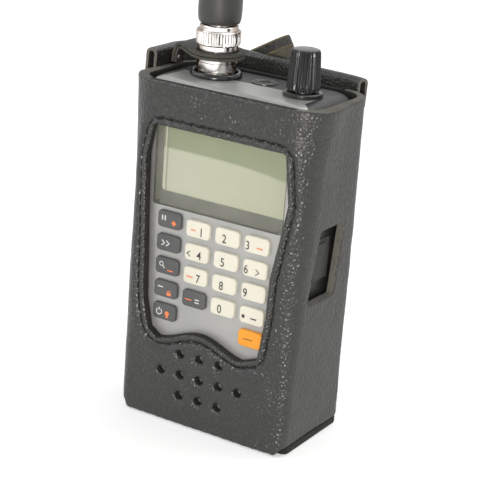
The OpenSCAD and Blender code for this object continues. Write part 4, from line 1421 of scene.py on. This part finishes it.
plainParts = {}
for material, names in (
        (steel, "strap_rivets cover_screws rf_shield battery_springs battery_contacts volume_shaft bnc_nut "
                "squelch_tube control_body control_nut usb_socket belt_stud"),
        (blackPlastic, "battery_door speaker rear_cover"), (lcdGlass, "lcd_panel"),
        (clearLens, "display_lens"), (backlightWhite, "backlight"), (rubber, "keypad_mat"),
        (greenBoard, "main_board"), (brass, "antenna_core"), (cellJacket, "battery_left battery_right"),
        (chrome, "bnc_socket antenna_plug coupling_ring"), (wrapLeather, "case_wrap"),
        (darkEdge, "case_bottom"), (hemLeather, "back_hem"),
        (plainLeather, "case_back_panel stud_base belt_loop"), (strapLeather, "antenna_strap"),
        (silverPlastic, "front_cover"), (knobPlastic, "volume_knob"), (ringPlastic, "squelch_ring"),
        (jackRing, "headphone_jack jack_nut"), (glossBlack, "antenna_seat"),
        (sleeveRubber, "antenna_sleeve"), (portRubber, "port_cover")):
    for name in names.split():
        plainParts[name] = material
for name in keyPlaces:
    plainParts[name] = keyMaterials[keyLooks.get(name, "ivory")][0]
for name, material in plainParts.items():
    part = nodes[name]
    if not part.data.materials:
        part.data.materials.append(material)
    for slotOfPart in part.material_slots:
        slotOfPart.material = material
missing = sorted(set(nodes) - set(plainParts))
print("parts carried over:", len(plainParts), "left without a look:", missing)


view = {
    "azimuth": 30.4, "elevation": 19.145, "roll": 4.273, "distance": 552.33, "pivot": 61.487,
    "right": 1.848, "up": -0.785, "lens": 117.73,
}


def makeCamera():
    # Turned from the front: azimuth, elevation, then roll about the line of sight
    turn = (Matrix.Rotation(math.radians(view["azimuth"]), 4, "Z")
            @ Matrix.Rotation(math.radians(90 - view["elevation"]), 4, "X")
            @ Matrix.Rotation(math.radians(view["roll"]), 4, "Z"))
    shift = turn @ Vector((view["right"], view["up"], view["distance"]))
    bpy.ops.object.camera_add()
    camera = bpy.context.object
    camera.name = "photoCamera"
    camera.matrix_world = Matrix.Translation((Vector((0, 0, view["pivot"])) + shift) * mm) @ turn
    camera.data.sensor_width = 36
    camera.data.lens = view["lens"]
    camera.data.clip_start, camera.data.clip_end = 0.01, 20
    bpy.context.scene.camera = camera


def addLight(name, azimuth, elevation, distance, size, height, power, colour):
    a, e = math.radians(azimuth), math.radians(elevation)
    towards = Vector((math.sin(a) * math.cos(e), -math.cos(a) * math.cos(e), math.sin(e)))
    bpy.ops.object.light_add(type="AREA")
    light = bpy.context.object
    light.name = name
    light.location = Vector((0, 0, 0.07)) + towards * distance
    light.rotation_mode = "QUATERNION"
    light.rotation_quaternion = towards.to_track_quat("Z", "Y")
    light.data.shape = "RECTANGLE"
    light.data.size, light.data.size_y = size, size * height
    light.data.energy = power
    light.data.color = colour


def seenByEye(made):
    # 1 on a straight look, in a reflection and through glass; 0 where surfaces are lit
    path = made.add("ShaderNodeLightPath").outputs
    seen = made.math("MAXIMUM", path["Is Camera Ray"], path["Is Glossy Ray"])
    return made.math("MAXIMUM", seen, path["Is Transmission Ray"])


def makeStage():
    deselectAll()
    bpy.ops.mesh.primitive_grid_add(x_subdivisions=40, y_subdivisions=40, size=8)
    floor = bpy.context.object
    floor.name = "paleFloor"
    material = bpy.data.materials.new("paleFloor")
    material.use_nodes = True
    made = Nodes(material.node_tree)
    shader = material.node_tree.nodes["Principled BSDF"]
    made.put(shader, {"Base Color": (0.86, 0.86, 0.86, 1), "Roughness": 0.9, "Specular IOR Level": 0.1,
                      "Emission Color": (1, 1, 1, 1),
                      "Emission Strength": made.math("MULTIPLY", seenByEye(made), 0.42)})
    floor.data.materials.append(material)
    world = bpy.data.worlds.new("paleRoom")
    bpy.context.scene.world = world
    world.use_nodes = True
    made = Nodes(world.node_tree)
    made.put(world.node_tree.nodes["Background"],
             {"Strength": made.remap(seenByEye(made), 0.0, 1.0, 0.45, 1.0), "Color": (1, 1, 1, 1)})


makeCamera()
makeStage()
# Azimuth, elevation, distance, width, height as a share of it, power, colour
for lamp in (("keyLight", 24, 9, 1.2, 0.4, 0.6, 5.4, (1.0, 0.96, 0.91)),
             ("cornerLight", 25, 5, 1.2, 0.2, 0.8, 2.4, (1.0, 0.96, 0.90)),
             ("fillLight", -60, 40, 1.6, 1.2, 1.0, 7.0, (0.95, 0.97, 1.0)),
             ("topLight", 150, 65, 1.5, 1.0, 1.0, 8.0, (1.0, 1.0, 1.0))):
    addLight(*lamp)
bpy.context.scene.view_settings.view_transform = "Standard"
print("stage made")
